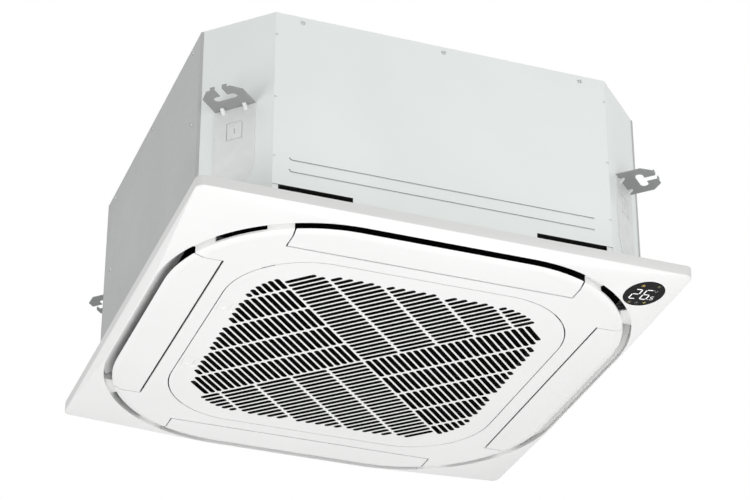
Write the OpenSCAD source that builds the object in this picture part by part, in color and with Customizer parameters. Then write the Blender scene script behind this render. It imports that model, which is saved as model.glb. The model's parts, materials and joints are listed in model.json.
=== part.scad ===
// Ceiling cassette air conditioner: a sheet-metal body hung from four corner brackets,
// and a square panel with four louvers and a hinged intake grille below it.
// The origin is the middle of the four hanger slots, level with the underside of the
// bracket plates. Inside the modules heights count from the panel's outer edge.

/* [Ceiling panel] */
// Side of the square panel
panel_side = 950; // [930:2:970]
// Corner radius of the panel
panel_corner_r = 15; // [8:1:25]
// Height of the panel's outer rim
rim_h = 20; // [16:1:22]
// Thickness of the moulded panel walls
panel_wall = 2.5; // [2:0.1:3]
// Distance from the panel's side to the groove's outer contour
contour_inset = 10; // [8:1:14]
// Corner radius of the groove's outer contour
contour_r = 304; // [296:1:312]
// How far the contour lies below the outer edge
contour_drop = 19; // [16:1:21]
// Width of the groove between border and deck
groove_w = 20; // [17:1:21]
// Depth of the groove's floor below the outer edge
groove_depth = 8; // [7:1:10]
// How far the flat deck lies below the outer edge
deck_drop = 27; // [25:1:29]
// Width of the deck's sloping margin
deck_margin = 15; // [10:1:20]
// Height of the deck's sloping margin
deck_margin_h = 7; // [4:1:8]
// Opening angle of each corner slot about the contour's corner centre
corner_slot_angle = 21; // [14:1:26]

/* [Louvers] */
// How far a louver reaches past the start of the contour's rounded corners
louver_reach = 115; // [100:1:119]
// Width of a louver
louver_w = 75.5; // [75:0.5:77]
// Width of the joint along a louver's inner edge
louver_joint = 4; // [3.5:0.5:5]
// Gap at each end of a louver
louver_end_gap = 3; // [2:0.5:4]
// Distance of a louver's axis outside its inner edge
louver_axis_back = 14.5; // [13:0.5:16]
// Height of a louver's axis above the deck's underside
louver_axis_up = 18; // [16:1:19]
// Radius of a louver's pins
louver_pin_r = 3; // [2:0.5:4]

/* [Intake grille] */
// Width of the bar between the louvers and the opening that the grille fills
deck_bar = 34.5; // [34:0.5:38]
// Corner radius of that opening
grille_opening_r = 165; // [150:1:180]
// Joint round the grille
grille_joint = 2.5; // [2:0.5:3]
// Thickness of the grille's plate
grille_t = 1.6; // [1.4:0.1:2]
// Height of the grille with its upturned edge
grille_h = 15; // [12:1:16]
// Width of the plain margin round the slotted field
slot_margin = 41; // [38:1:54]
// Corner radius of the slotted field
slot_field_r = 140; // [120:1:160]
// Width of an intake slot
slot_w = 10.6; // [8:0.2:11.4]
// Distance from slot to slot
slot_pitch = 14.4; // [13.4:0.2:18]
// Distance from rib to rib
rib_pitch = 78.5; // [60:0.5:110]
// Width of a rib between two rows of slots
rib_w = 4.4; // [3:0.2:8]
// Distance of the grille's hinge axis outside the opening's edge
hinge_out = 15; // [14.5:0.1:15.2]
// Height of the hinge axis above the deck's underside
hinge_up = 8; // [7.8:0.1:8.6]
// Radius of the grille's hinge pins
hinge_pin_r = 3; // [2:0.5:3]
// Distance of each latch from the start of the opening's rounded corners
latch_in = 52; // [30:1:90]
// Side of a latch window along its travel
latch_l = 31; // [28:1:32]
// Side of a latch window across its travel
latch_w = 37; // [30:1:44]
// Travel of a latch
latch_travel = 8; // [6:0.5:9]

/* [Body] */
// How far the panel reaches past the body on each side
panel_over = 35; // [31:1:39]
// Length of a cut corner along one side
corner_leg = 110; // [104:1:116]
// Height of the body
body_h = 368; // [366:1:390]
// Height of the body's lower edge above the panel's outer edge
body_base = 52; // [51:1:53]
// Thickness of the body's sheet
sheet = 1.2; // [0.8:0.1:1.5]
// Width of the sheet flanges
flange_w = 15; // [12:1:18]
// Height of the lower pressed line on a side
bead_low = 30; // [26:1:36]
// Distance between the two pressed lines
bead_gap = 24.5; // [18:0.5:30]
// Distance of a pressed line's ends from the cut corners
bead_end = 35.5; // [30:0.5:100]
// Width of a pressed line
bead_w = 3; // [2:0.5:5]
// Thickness of the foam lining
liner_t = 18; // [14:1:19]

/* [Hanger brackets] */
// Height of the bracket plates' underside above the panel's outer edge
hanger_h = 230; // [220:1:240]
// Width of a bracket
bracket_w = 82; // [76:1:90]
// Reach of a bracket from the body
bracket_out = 68; // [66:1:72]
// Thickness of a bracket
bracket_t = 2; // [1.5:0.1:2.4]
// Length of the cross slot for the hanger rod
rod_slot_l = 46; // [40:1:50]
// Width of the cross slot for the hanger rod
rod_slot_w = 16; // [13:0.5:18]
// Width of the slot's open mouth
rod_mouth_w = 15; // [11:0.5:17]

/* [Fan and air path] */
// Gap between the fan wheel and the coil
fan_gap = 71; // [66:1:80]
// Height of the fan wheel
fan_h = 170; // [166:1:172]
// Number of blades
fan_blades = 7; // [5:1:9]
// How much smaller the bell mouth's throat is than the fan wheel
throat_step = 70; // [67:1:75]
// Radius of the fan motor
motor_r = 82; // [70:1:84]
// Height of the fan motor
motor_h = 75; // [68:1:80]
// Radius of the motor shaft
shaft_r = 6; // [5:0.5:7]

/* [Heat exchanger and pipes] */
// Distance of the coil's middle line from the body's side
coil_in = 112; // [110:1:114]
// Thickness of the coil
coil_t = 44; // [40:1:46]
// Distance from fin to fin
fin_pitch = 12; // [11:0.5:24]
// Thickness of a fin
fin_t = 1.2; // [0.8:0.1:1.6]
// Radius of the gas pipe
gas_pipe_r = 7.94; // [6.3:0.01:9.5]
// Radius of the liquid pipe
liquid_pipe_r = 4.76; // [3.1:0.01:6.4]
// Outer radius of the drain spigot
spigot_r = 16; // [12:0.5:18]

/* [Display] */
// Radius of the round display window
display_r = 40; // [34:0.5:40.5]
// Distance of the display's middle from the contour
display_in = 41.4; // [41.4:0.2:46]

/* [Hidden] */
// Overrun of every cut
over = 1;
// Smallest running gap of a pin or shaft in its hole
run_gap = 0.1;
// Gap between solids that lie together
seat_gap = 0.3;
// Straight steps in each rounded corner
corner_steps = 24;
$fn = 48;

// Levels, counted from the underside of the panel's outer edge
deck_z = -deck_drop;
contour_z = -contour_drop;
groove_z = -groove_depth;
margin_z = deck_z + deck_margin_h;
body_top = body_base + body_h;
plate_z = body_top - sheet;

// Plan sizes of the panel
panel_half = panel_side/2;
contour_half = panel_half - contour_inset;
deck_half = contour_half - groove_w;
deck_r = contour_r - groove_w - 2*sheet;
louver_half = contour_half - contour_r + louver_reach;
louver_inner = deck_half - louver_w;
louver_axis_in = louver_inner + louver_axis_back;
well_half = louver_half + louver_end_gap;
well_inner = louver_inner - louver_joint;
louver_axis_z = deck_z + louver_axis_up;
// Turning clearance of a louver's inner corner
louver_sweep = norm([louver_inner - louver_axis_in, louver_axis_up]);
well_wall = louver_axis_in - louver_sweep - over - panel_wall;
grille_opening = louver_inner - deck_bar;
slot_field = grille_opening - slot_margin;

// Plan sizes of the body
body_half = panel_half - panel_over;
face_half = body_half - corner_leg;
corner_dist = (body_half + face_half)/sqrt(2);
liner_out = 3*sheet + seat_gap;
liner_in = liner_out + liner_t;
liner_half = body_half - liner_in;
bead_len = 2*(face_half - bead_end);
coil_mid = body_half - coil_in;
fan_r = coil_mid - coil_t/2 - fan_gap;
throat_r = fan_r - throat_step;

// Outline with rounded corners of one radius
function rounded(h, r) = [for (q = [0:3]) for (k = [0:corner_steps])
    let (a = 90*(q + k/corner_steps), c = h - r)
    [(q == 0 || q == 3 ? c : -c) + r*cos(a), (q < 2 ? c : -c) + r*sin(a)]];

// Octagon of the body, drawn in by an inset
function octagon(inset) = let (h = body_half - inset, f = face_half + inset - inset*sqrt(2))
    [[h, f], [f, h], [-f, h], [-h, f], [-h, -f], [-f, -h], [f, -h], [h, -f]];

module placed() translate([0, 0, -hanger_h]) children();

module slab(z0, z1, points) translate([0, 0, z0]) linear_extrude(z1 - z0) polygon(points);

module ring(z0, z1, outer, inner) translate([0, 0, z0]) linear_extrude(z1 - z0)
    difference() { polygon(outer); polygon(inner); }

module block(x, y, z) translate([x[0], y[0], z[0]]) cube([x[1] - x[0], y[1] - y[0], z[1] - z[0]]);

module tube(z0, z1, r_out, r_in) translate([0, 0, z0]) difference() {
    cylinder(r = r_out, h = z1 - z0);
    translate([0, 0, -over]) cylinder(r = r_in, h = z1 - z0 + 2*over);
}

// Slot with round ends along X
module stadium(length, width) {
    square([length - width, width], center = true);
    for (side = [-1, 1]) translate([side*(length - width)/2, 0]) circle(d = width);
}

// Frame at a cut corner: +Y points out of the body, +X runs along the corner sheet
module at_corner(turn) rotate([0, 0, 135 + 90*turn]) translate([0, corner_dist, 0]) children();

// Upright plate outline, drawn in X and Z and as thick as t towards +Y
module upright(t, points) translate([0, t, 0]) rotate([90, 0, 0]) linear_extrude(t) polygon(points);

// Rod lying along +X, from x0 to x1
module rod_x(x0, x1, r) translate([x0, 0, 0]) rotate([0, 90, 0]) cylinder(r = r, h = x1 - x0);

// Rod lying along +Y, from y0 to y1
module rod_y(y0, y1, r) translate([0, y0, 0]) rotate([-90, 0, 0]) cylinder(r = r, h = y1 - y0);

// Body

screw_head_r = 5.5;
screw_head_h = 2.6;
screw_r = 2;
screw_len = 9;
screw_drop = 12;
screw_end = 52;
mid_screw_end = 43;
mid_screw_up = 191.5;
screw_out = face_half - screw_end;
mid_screw_out = face_half - mid_screw_end;
mid_screw_z = body_base + mid_screw_up;
top_flange = 22;

// Places of the screws on one side, in X and Z
function side_screws(middle) = concat(
    [for (x = [-screw_out, 0, screw_out]) [x, body_top - screw_drop]],
    middle ? [for (x = [-mid_screw_out, mid_screw_out]) [x, mid_screw_z]] : []);

notch_h = 3;
notch_w = 5;
notch_shares = [0.13, 0.5, 0.84];
tongue_end = 152;
tongue_half = face_half - tongue_end;
tongue_h = 10;
bead_deep = 2.2;
bead_hook_r = 5;

// Line with a hooked end, grown all round by a wall
module bead_outline(grow) {
    reach = bead_hook_r + bead_w + grow;
    stadium(bead_len + 2*grow, bead_w + 2*grow);
    translate([-(bead_len - bead_w)/2, bead_hook_r]) intersection() {
        difference() {
            circle(r = bead_hook_r + bead_w/2 + grow);
            circle(r = bead_hook_r - bead_w/2 - grow);
        }
        translate([-reach, -reach]) square([reach, reach + grow]);
    }
}

// Sheet on the front side, with its lower flange and pressed lines
module side_sheet(beads, lips, middle_screws) {
    difference() {
        union() {
            block([-face_half, face_half], [-body_half, -body_half + sheet], [body_base, plate_z]);
            block([-face_half + flange_w + sheet, face_half - flange_w - sheet],
                [-body_half, -body_half + flange_w], [body_base, body_base + sheet]);
            block([-tongue_half, tongue_half], [-body_half, -body_half + sheet],
                [body_base - tongue_h, body_base + sheet]);
            if (beads) for (z = [bead_low, bead_low + bead_gap])
                translate([0, -body_half + sheet + bead_deep, body_base + z]) rotate([90, 0, 0])
                    linear_extrude(bead_deep + sheet/2) bead_outline(sheet);
            if (lips) for (side = [0, 1]) mirror([side, 0, 0]) corner_lip();
        }
        if (beads) for (z = [bead_low, bead_low + bead_gap])
            translate([0, -body_half + bead_deep, body_base + z]) rotate([90, 0, 0])
                linear_extrude(over + bead_deep) bead_outline(0);
        for (p = side_screws(middle_screws)) translate([p[0], 0, p[1]])
            rod_y(-body_half - over, -body_half + screw_len, screw_r + run_gap);
        if (!lips) for (s = notch_shares, side = [-1, 1])
            translate([side*face_half, -body_half, plate_z - s*body_h])
                cube([2*notch_w, 3*sheet, notch_h], center = true);
    }
}

lip_w = 6;
lip_root = 3;

// Strip that wraps a side sheet a little way onto the cut corner
module corner_lip() {
    start = [-face_half, -body_half];
    along = [-1, 1]/sqrt(2);
    out = [-1, -1]/sqrt(2);
    slab(body_base + sheet, plate_z, [[-face_half + lip_root, -body_half], start + out*sheet,
        start + along*lip_w + out*sheet, start + along*lip_w, start,
        [-face_half, -body_half + sheet/2], [-face_half + lip_root, -body_half + sheet/2]]);
}

module front_panel() color("#eaf0ef") placed() side_sheet(true, false, false);

// Levels of the drain pan and the coil
pan_rise = 4;
coil_rise = 24;
pan_base = body_base + pan_rise;
coil_base = pan_base + coil_rise;
coil_top = plate_z - liner_t - 2*seat_gap;

pipe_in = 106;
pipe_step = 40;
gas_rise = 185;
liquid_drop = 65;
pipe_x = coil_mid - pipe_in;
liquid_x = pipe_x + pipe_step;
gas_z = coil_base + gas_rise;
liquid_z = gas_z - liquid_drop;
pipe_window_w = 78;
pipe_window_h = 110;
pipe_mid_x = (pipe_x + liquid_x)/2;
pipe_mid_z = (gas_z + liquid_z)/2;

module back_panel() color("#dfe4e3") placed() difference() {
    rotate([0, 0, 180]) side_sheet(true, false, false);
    translate([pipe_mid_x, body_half, pipe_mid_z])
        cube([pipe_window_w, 2*flange_w, pipe_window_h], center = true);
}

module left_panel() color("#b4b6b6") placed() rotate([0, 0, -90]) side_sheet(false, true, true);

pump_in = 28;
spigot_drop = 82;
grommet_step = 100;
spigot_y = coil_mid - pump_in;
spigot_z = body_top - spigot_drop;
grommet_y = spigot_y - grommet_step;
grommet_r = 13;
cable_hole_r = 8;

module right_panel() color("#b4b6b6") placed() difference() {
    rotate([0, 0, 90]) side_sheet(false, true, true);
    translate([0, spigot_y, spigot_z]) rod_x(body_half - flange_w, body_half + over, spigot_r + seat_gap);
    translate([0, grommet_y, spigot_z]) rod_x(body_half - flange_w, body_half + over, grommet_r - sheet);
}

tuck_w = 12;
corner_base = body_base - tongue_h;

// Sheet across one cut corner, its edges tucked behind the neighbouring sides
module corner_sheet(turn) rotate([0, 0, 90*turn]) {
    intersection() {
        ring(corner_base, plate_z, octagon(0), octagon(sheet));
        block([-body_half, -face_half], [-body_half, -face_half], [corner_base, body_top]);
    }
    intersection() {
        ring(corner_base, plate_z, octagon(sheet), octagon(2*sheet));
        block([-body_half, tuck_w - face_half], [-body_half, tuck_w - face_half],
            [corner_base, body_top]);
    }
}

module front_left_corner() color("#c8c8c8") placed() corner_sheet(0);
module front_right_corner() color("#c8c8c8") placed() corner_sheet(1);
module back_right_corner() color("#c8c8c8") placed() corner_sheet(2);
module back_left_corner() color("#c8c8c8") placed() corner_sheet(3);

motor_bolt_ring = 105;
motor_bolt_r = 4;
rib_h = 2.5;
top_rib_l = 240;
top_rib_w = 26;
top_rib_out = 350;
top_ring_r = 165;

module top_plate() color("#d3d7d7") placed() difference() {
    union() {
        slab(plate_z, body_top, octagon(0));
        ring(plate_z - top_flange, plate_z, octagon(2*sheet), octagon(3*sheet));
        for (k = [0:3]) rotate([0, 0, 45 + 90*k]) translate([top_rib_out, 0, plate_z + sheet/2])
            linear_extrude(rib_h + sheet/2) stadium(top_rib_l, top_rib_w);
        tube(plate_z + sheet/2, body_top + rib_h, top_ring_r + top_rib_w/2, top_ring_r - top_rib_w/2);
    }
    for (k = [0:3]) rotate([0, 0, 45 + 90*k]) translate([top_rib_out, 0, plate_z - over])
        linear_extrude(rib_h + over) stadium(top_rib_l - 2*sheet, top_rib_w - 2*sheet);
    tube(plate_z - over, body_top + rib_h - sheet, top_ring_r + top_rib_w/2 - sheet,
        top_ring_r - top_rib_w/2 + sheet);
    for (k = [0:3]) rotate([0, 0, 45 + 90*k]) translate([motor_bolt_ring, 0, plate_z - over])
        cylinder(r = motor_bolt_r + seat_gap, h = sheet + 2*over);
    for (k = [0:3], p = side_screws(false)) rotate([0, 0, 90*k]) translate([p[0], 0, p[1]])
        rod_y(-body_half, -body_half + screw_len, screw_r + run_gap);
}

// Dome-headed screw: the head sits on y = 0 and the shank runs to +Y
module casing_screw() {
    rod_y(-sheet/2, screw_len, screw_r);
    difference() {
        intersection() {
            rod_y(-screw_head_h, 0, screw_head_r);
            translate([0, screw_head_h, 0]) sphere(r = 2*screw_head_h + sheet/4);
        }
        for (a = [0, 90]) rotate([0, a, 0]) translate([0, -screw_head_h, 0])
            cube([screw_head_r, screw_head_h, sheet], center = true);
    }
}

module casing_screws() color("#9aa0a2") placed() for (k = [0:3], p = side_screws(k%2 == 1))
    rotate([0, 0, 90*k]) translate([p[0], -body_half, p[1]]) casing_screw();

// Hanger bracket at a cut corner

leg_rise = 5;
leg_foot_h = 13;
leg_slope_h = 27;
leg_bottom = body_base + leg_rise;
leg_taper = leg_bottom + leg_foot_h + leg_slope_h;
leg_foot_half = 28.5;
prong_cut_w = 17;
prong_cut_l = 19;
slot_root = 30;
lip_h = 6;
lip_l = 9;
tab_w = 31;
tab_h = 36;
tab_drop = 49;
tab_z = hanger_h - tab_drop;
tab_slit = 2;
tab_bridge = 4;
tab_key_r = 3;
tab_key_h = 13;
gusset_out = 22.5;
gusset_l = 11;
gusset_w = 7;

module hanger(turn) placed() at_corner(turn) {
    half = bracket_w/2;
    difference() {
        union() {
            upright(bracket_t, [[-half, hanger_h + bracket_t], [half, hanger_h + bracket_t],
                [half, leg_taper], [leg_foot_half, leg_bottom + leg_foot_h],
                [leg_foot_half, leg_bottom], [-leg_foot_half, leg_bottom],
                [-leg_foot_half, leg_bottom + leg_foot_h], [-half, leg_taper]]);
            slab(hanger_h, hanger_h + bracket_t, [[-half, 0], [half, 0],
                [half, bracket_out - prong_cut_l], [half - prong_cut_w, bracket_out],
                [prong_cut_w - half, bracket_out], [-half, bracket_out - prong_cut_l]]);
            for (side = [-1, 1]) {
                translate([side*(rod_mouth_w + lip_l)/2, 0, 0]) block([-lip_l/2, lip_l/2],
                    [bracket_out - bracket_t, bracket_out], [hanger_h, hanger_h + bracket_t + lip_h]);
                translate([side*gusset_out - gusset_w/2, 0, 0]) rotate([90, 0, 90])
                    linear_extrude(gusset_w) polygon([[bracket_t/2, hanger_h + bracket_t/2],
                        [bracket_t + gusset_l, hanger_h + bracket_t/2],
                        [bracket_t/2, hanger_h - gusset_l]]);
            }
        }
        translate([0, slot_root + rod_slot_w/2, hanger_h - over]) {
            linear_extrude(bracket_t + 2*over) stadium(rod_slot_l, rod_slot_w);
            translate([-rod_mouth_w/2, 0, 0])
                cube([rod_mouth_w, bracket_out, bracket_t + 2*over + lip_h]);
        }
        translate([0, bracket_t + over, tab_z]) rotate([90, 0, 0])
            linear_extrude(bracket_t + 2*over) {
                difference() {
                    square([tab_w + tab_slit, tab_h + tab_slit], center = true);
                    square([tab_w - tab_slit, tab_h - tab_slit], center = true);
                    translate([0, -tab_h/2]) square([tab_bridge, 2*tab_slit], center = true);
                }
                for (side = [-1, 1]) translate([side*tab_w/2, -tab_h/2]) circle(r = tab_slit);
                translate([0, tab_key_h/2]) circle(r = tab_key_r);
                square([tab_slit, tab_key_h], center = true);
            }
    }
}

module front_left_hanger() color("#8b8f8e") hanger(0);
module front_right_hanger() color("#8b8f8e") hanger(1);
module back_right_hanger() color("#8b8f8e") hanger(2);
module back_left_hanger() color("#8b8f8e") hanger(3);

mitre = 22.5;
liner_base = body_base + sheet + seat_gap;
liner_face = octagon(liner_in)[0][1];
motor_well_r = 130;

// Foam board under the top plate, with the motor's well
module ceiling_lining() color("#3c3f41") placed() difference() {
    slab(coil_top + seat_gap, plate_z, octagon(liner_in + seat_gap));
    translate([0, 0, coil_top]) cylinder(r = motor_well_r, h = body_h);
}

// Foam lining of the body's walls: eight boards with mitred joints
module wall_lining() color("#3c3f41") placed() difference() {
    ring(liner_base, plate_z, octagon(liner_out), octagon(liner_in));
    for (k = [0:3], side = [0, 1]) rotate([0, 0, 90*k]) mirror([0, side, 0])
        translate([liner_half, liner_face, 0]) rotate([0, 0, mitre]) block([-over, liner_t + 2*over],
            [-seat_gap/2, seat_gap/2], [liner_base - over, plate_z + over]);
    translate([pipe_x, 0, gas_z]) rod_y(liner_half - over, body_half, gas_pipe_r + seat_gap);
    translate([liquid_x, 0, liquid_z]) rod_y(liner_half - over, body_half, liquid_pipe_r + seat_gap);
    translate([0, spigot_y, spigot_z]) rod_x(liner_half - over, body_half, spigot_r + seat_gap);
    translate([0, grommet_y, spigot_z]) rod_x(liner_half - over, body_half, grommet_r + seat_gap);
    for (k = [0:3], p = side_screws(k%2 == 1)) rotate([0, 0, 90*k]) translate([p[0], 0, p[1]])
        rod_y(-body_half, -body_half + screw_len + over, screw_head_r);
}

// Heat exchanger

coil_corner_r = 60;
coil_short = 138;
coil_end = coil_mid - coil_short;
coil_web = 2;
coil_straight = coil_mid - coil_corner_r;
end_plate_t = 1.5;
end_plate_over = 4;

// Places and directions of the fins along the coil's middle line
function bank_fins(k, from, to) = let (count = floor((from - to)/fin_pitch))
    [for (i = [0:count]) let (x = from - i*(from - to)/count, a = 90*k)
        [[x*cos(a) - coil_mid*sin(a), x*sin(a) + coil_mid*cos(a)], 90 + a]];
function bend_fins(k) = let (count = floor(coil_corner_r*PI/2/fin_pitch), c = coil_straight)
    [for (i = [1:count - 1]) let (a = 90*k, b = 90 + a + 90*i/count)
        [[-c*cos(a) - c*sin(a) + coil_corner_r*cos(b), -c*sin(a) + c*cos(a) + coil_corner_r*sin(b)], b]];
coil_fins_list = concat(bank_fins(0, coil_end - 2*fin_t, -coil_straight), bend_fins(0),
    bank_fins(1, coil_straight, -coil_straight), bend_fins(1),
    bank_fins(2, coil_straight, -coil_straight), bend_fins(2),
    bank_fins(3, coil_straight, 2*fin_t - coil_end));

// Point beside a fin: out along the fin, and aside across it
function beside(fin, out, aside) = fin[0] + out*[cos(fin[1]), sin(fin[1])]
    + aside*[-sin(fin[1]), cos(fin[1])];

module coil_fins() color("#c9ccce") placed() slab(coil_base, coil_top, concat(
    [for (f = coil_fins_list) each [beside(f, coil_web/2, -fin_t/2), beside(f, coil_t/2, -fin_t/2),
        beside(f, coil_t/2, fin_t/2), beside(f, coil_web/2, fin_t/2)]],
    [for (i = [len(coil_fins_list) - 1:-1:0]) let (f = coil_fins_list[i])
        each [beside(f, -coil_web/2, fin_t/2), beside(f, -coil_t/2, fin_t/2),
            beside(f, -coil_t/2, -fin_t/2), beside(f, -coil_web/2, -fin_t/2)]]));

// Frame at each end of the coil: +X points away from the last fin
module at_coil_ends() for (end = [0, 1]) mirror([end, -end, 0])
    translate([coil_end - fin_t, coil_mid, 0]) children();

module coil_end_plates() color("#aeb3b5") placed() at_coil_ends()
    block([0, end_plate_t], [-coil_t/2 - end_plate_over, coil_t/2 + end_plate_over],
        [coil_base, coil_top]);

bend_tube_r = 3.5;
bend_r = 10.5;
bend_column = 12;
bend_count = 7;
bend_start = 30;
bend_pitch = (coil_top - coil_base - 2*bend_start)/bend_count;

module coil_bends() color("#b87352") placed() at_coil_ends() for (i = [0:bend_count - 1], side = [-1, 1])
    translate([end_plate_t, side*bend_column, coil_base + bend_start + (i + 1/2)*bend_pitch])
        rotate([90, 0, 0]) rotate([0, 0, -90]) rotate_extrude(angle = 180)
            translate([bend_r, 0]) circle(r = bend_tube_r, $fn = 24);

header_r = 9;
header_in = 30;
header_z = [coil_base + header_in, coil_top - header_in];
stub_shares = [0.06, 0.28, 0.5, 0.72, 0.94];
stub_r = 3.5;
end_x = coil_end - fin_t + end_plate_t;

module gas_header() color("#b87352") placed() {
    translate([pipe_x, coil_mid, header_z[0]]) cylinder(r = header_r, h = header_z[1] - header_z[0]);
    for (z = header_z) translate([pipe_x, coil_mid, z]) sphere(r = header_r);
    for (s = stub_shares) translate([0, coil_mid, header_z[0] + s*(header_z[1] - header_z[0])])
        rod_x(end_x, pipe_x, stub_r);
}

// Screwed unions at the pipes' ends, each a nut with a threaded nipple
nut_out = 6;
nut_l = 16;
nut_wall = 6;
nipple_l = 12;
thread_over = 3.175;
nut_start = body_half + nut_out;
pipe_end = nut_start + nut_l;

module pipe_unions() color("#c2a24c") placed()
    for (p = [[pipe_x, gas_z, gas_pipe_r], [liquid_x, liquid_z, liquid_pipe_r]])
        translate([p[0], 0, p[1]]) difference() {
            union() {
                translate([0, nut_start, 0]) rotate([-90, 0, 0])
                    cylinder(r = p[2] + nut_wall, h = nut_l, $fn = 6);
                rod_y(nut_start + over, pipe_end + nipple_l, p[2] + thread_over);
            }
            rod_y(nut_start - over, pipe_end, p[2] + run_gap);
            rod_y(nut_start, pipe_end + nipple_l + over, p[2] - sheet);
        }

module gas_pipe() color("#b87352") placed() translate([pipe_x, 0, gas_z]) difference() {
    rod_y(coil_mid + header_r/2, pipe_end, gas_pipe_r);
    rod_y(body_half, pipe_end + over, gas_pipe_r - sheet);
    translate([0, coil_mid, -2*gas_pipe_r]) cylinder(r = header_r + run_gap, h = 4*gas_pipe_r);
}

distributor_r = 13;
distributor_l = 15;
capillary_r = 1.3;
capillary_in = 4;
capillary_stub_l = 4;
capillary_stub_r = 2;
capillary_y = coil_mid + coil_t/2 - capillary_in;
capillary_run = liquid_x - end_x - 2*capillary_r;
capillary_rise = 22;

module distributor() color("#b98a45") placed() {
    translate([liquid_x, 0, liquid_z])
        rod_y(capillary_y - 2*capillary_r, capillary_y + distributor_l, distributor_r);
    for (i = [-2:2]) {
        translate([0, capillary_y, liquid_z + i*capillary_rise])
            rod_x(end_x, end_x + capillary_stub_l, capillary_stub_r);
        translate([liquid_x, capillary_y, liquid_z])
            rotate([0, atan(i*capillary_rise/capillary_run), 0])
                rod_x(-norm([capillary_run, i*capillary_rise]), -(distributor_r - over), capillary_r);
    }
}

module liquid_pipe() color("#b87352") placed() translate([liquid_x, 0, liquid_z]) difference() {
    rod_y(capillary_y + distributor_l, pipe_end, liquid_pipe_r);
    rod_y(body_half, pipe_end + over, liquid_pipe_r - sheet);
}

cover_t = 2;
cover_over = 12;

module pipe_cover() color("#c4c8c8") placed() difference() {
    translate([pipe_mid_x, body_half + cover_t/2, pipe_mid_z])
        cube([pipe_window_w + cover_over, cover_t, pipe_window_h + cover_over], center = true);
    translate([pipe_x, body_half, gas_z]) rod_y(-over, cover_t + over, gas_pipe_r + run_gap);
    translate([liquid_x, body_half, liquid_z]) rod_y(-over, cover_t + over, liquid_pipe_r + run_gap);
}

// Fan and its motor

mount_r = 12;
lug_t = 4;
mount_h = 24;
fan_drop = 16;
hub_drop = 60;
bowl_gap = 18;
mount_z = plate_z - mount_h;
motor_top = mount_z - lug_t;
motor_base = motor_top - motor_h;
fan_top = motor_top - fan_drop;
fan_base = fan_top - fan_h;
hub_z = motor_base - hub_drop;
boss_r = 17;
boss_h = 38;
bowl_t = 3;
bowl_floor = hub_z + boss_h/2;
bowl_r = motor_r + bowl_gap;

module fan_motor() color("#585c5f") placed() difference() {
    union() {
        translate([0, 0, motor_base]) cylinder(r = motor_r, h = motor_h);
        translate([0, 0, motor_base - lug_t]) cylinder(r = motor_r/3, h = lug_t + over);
        for (k = [0, 1]) rotate([0, 0, 45 + 90*k]) translate([0, 0, motor_top - over])
            linear_extrude(lug_t + over) stadium(2*(motor_bolt_ring + mount_r), 2*mount_r);
    }
    translate([0, 0, motor_base - lug_t - over]) cylinder(r = shaft_r + run_gap, h = motor_h);
    for (k = [0:3]) rotate([0, 0, 45 + 90*k]) translate([motor_bolt_ring, 0, motor_top - 2*over])
        cylinder(r = motor_bolt_r + run_gap, h = lug_t + 3*over);
}

module motor_mounts() color("#2a2a2c") placed() for (k = [0:3]) rotate([0, 0, 45 + 90*k])
    translate([motor_bolt_ring, 0, 0]) tube(mount_z, plate_z, mount_r, motor_bolt_r + run_gap);

bolt_head_r = 7.5;
bolt_head_h = 5;

module motor_bolts() color("#a2a7aa") placed() for (k = [0:3]) rotate([0, 0, 45 + 90*k])
    translate([motor_bolt_ring, 0, 0]) {
        translate([0, 0, body_top]) cylinder(r = bolt_head_r, h = bolt_head_h, $fn = 6);
        translate([0, 0, motor_top - over - bolt_head_h])
            cylinder(r = bolt_head_r, h = bolt_head_h, $fn = 6);
        translate([0, 0, motor_top - 2*bolt_head_h])
            cylinder(r = motor_bolt_r, h = body_top - motor_top + 2*bolt_head_h + over);
    }

shaft_over = 14;
shaft_end = hub_z - shaft_over;

module motor_shaft() color("#b8bcbe") placed() translate([0, 0, shaft_end])
    cylinder(r = shaft_r, h = motor_top - shaft_over - shaft_end);

eye_gap = 10;
eye_r = throat_r + eye_gap;
shroud_t = 3;
shroud_rise = 38;
blade_r = 130;
blade_t = 3;
blade_sweep = 38;
blade_turn = 26;
blade_steps = 8;

// Curved middle line of a blade, from its inner to its outer end
function blade_line(s) = let (r = blade_r + s*(fan_r - blade_r - blade_t),
    a = -blade_sweep*s*s - blade_turn*s) [r*cos(a), r*sin(a)];

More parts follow.
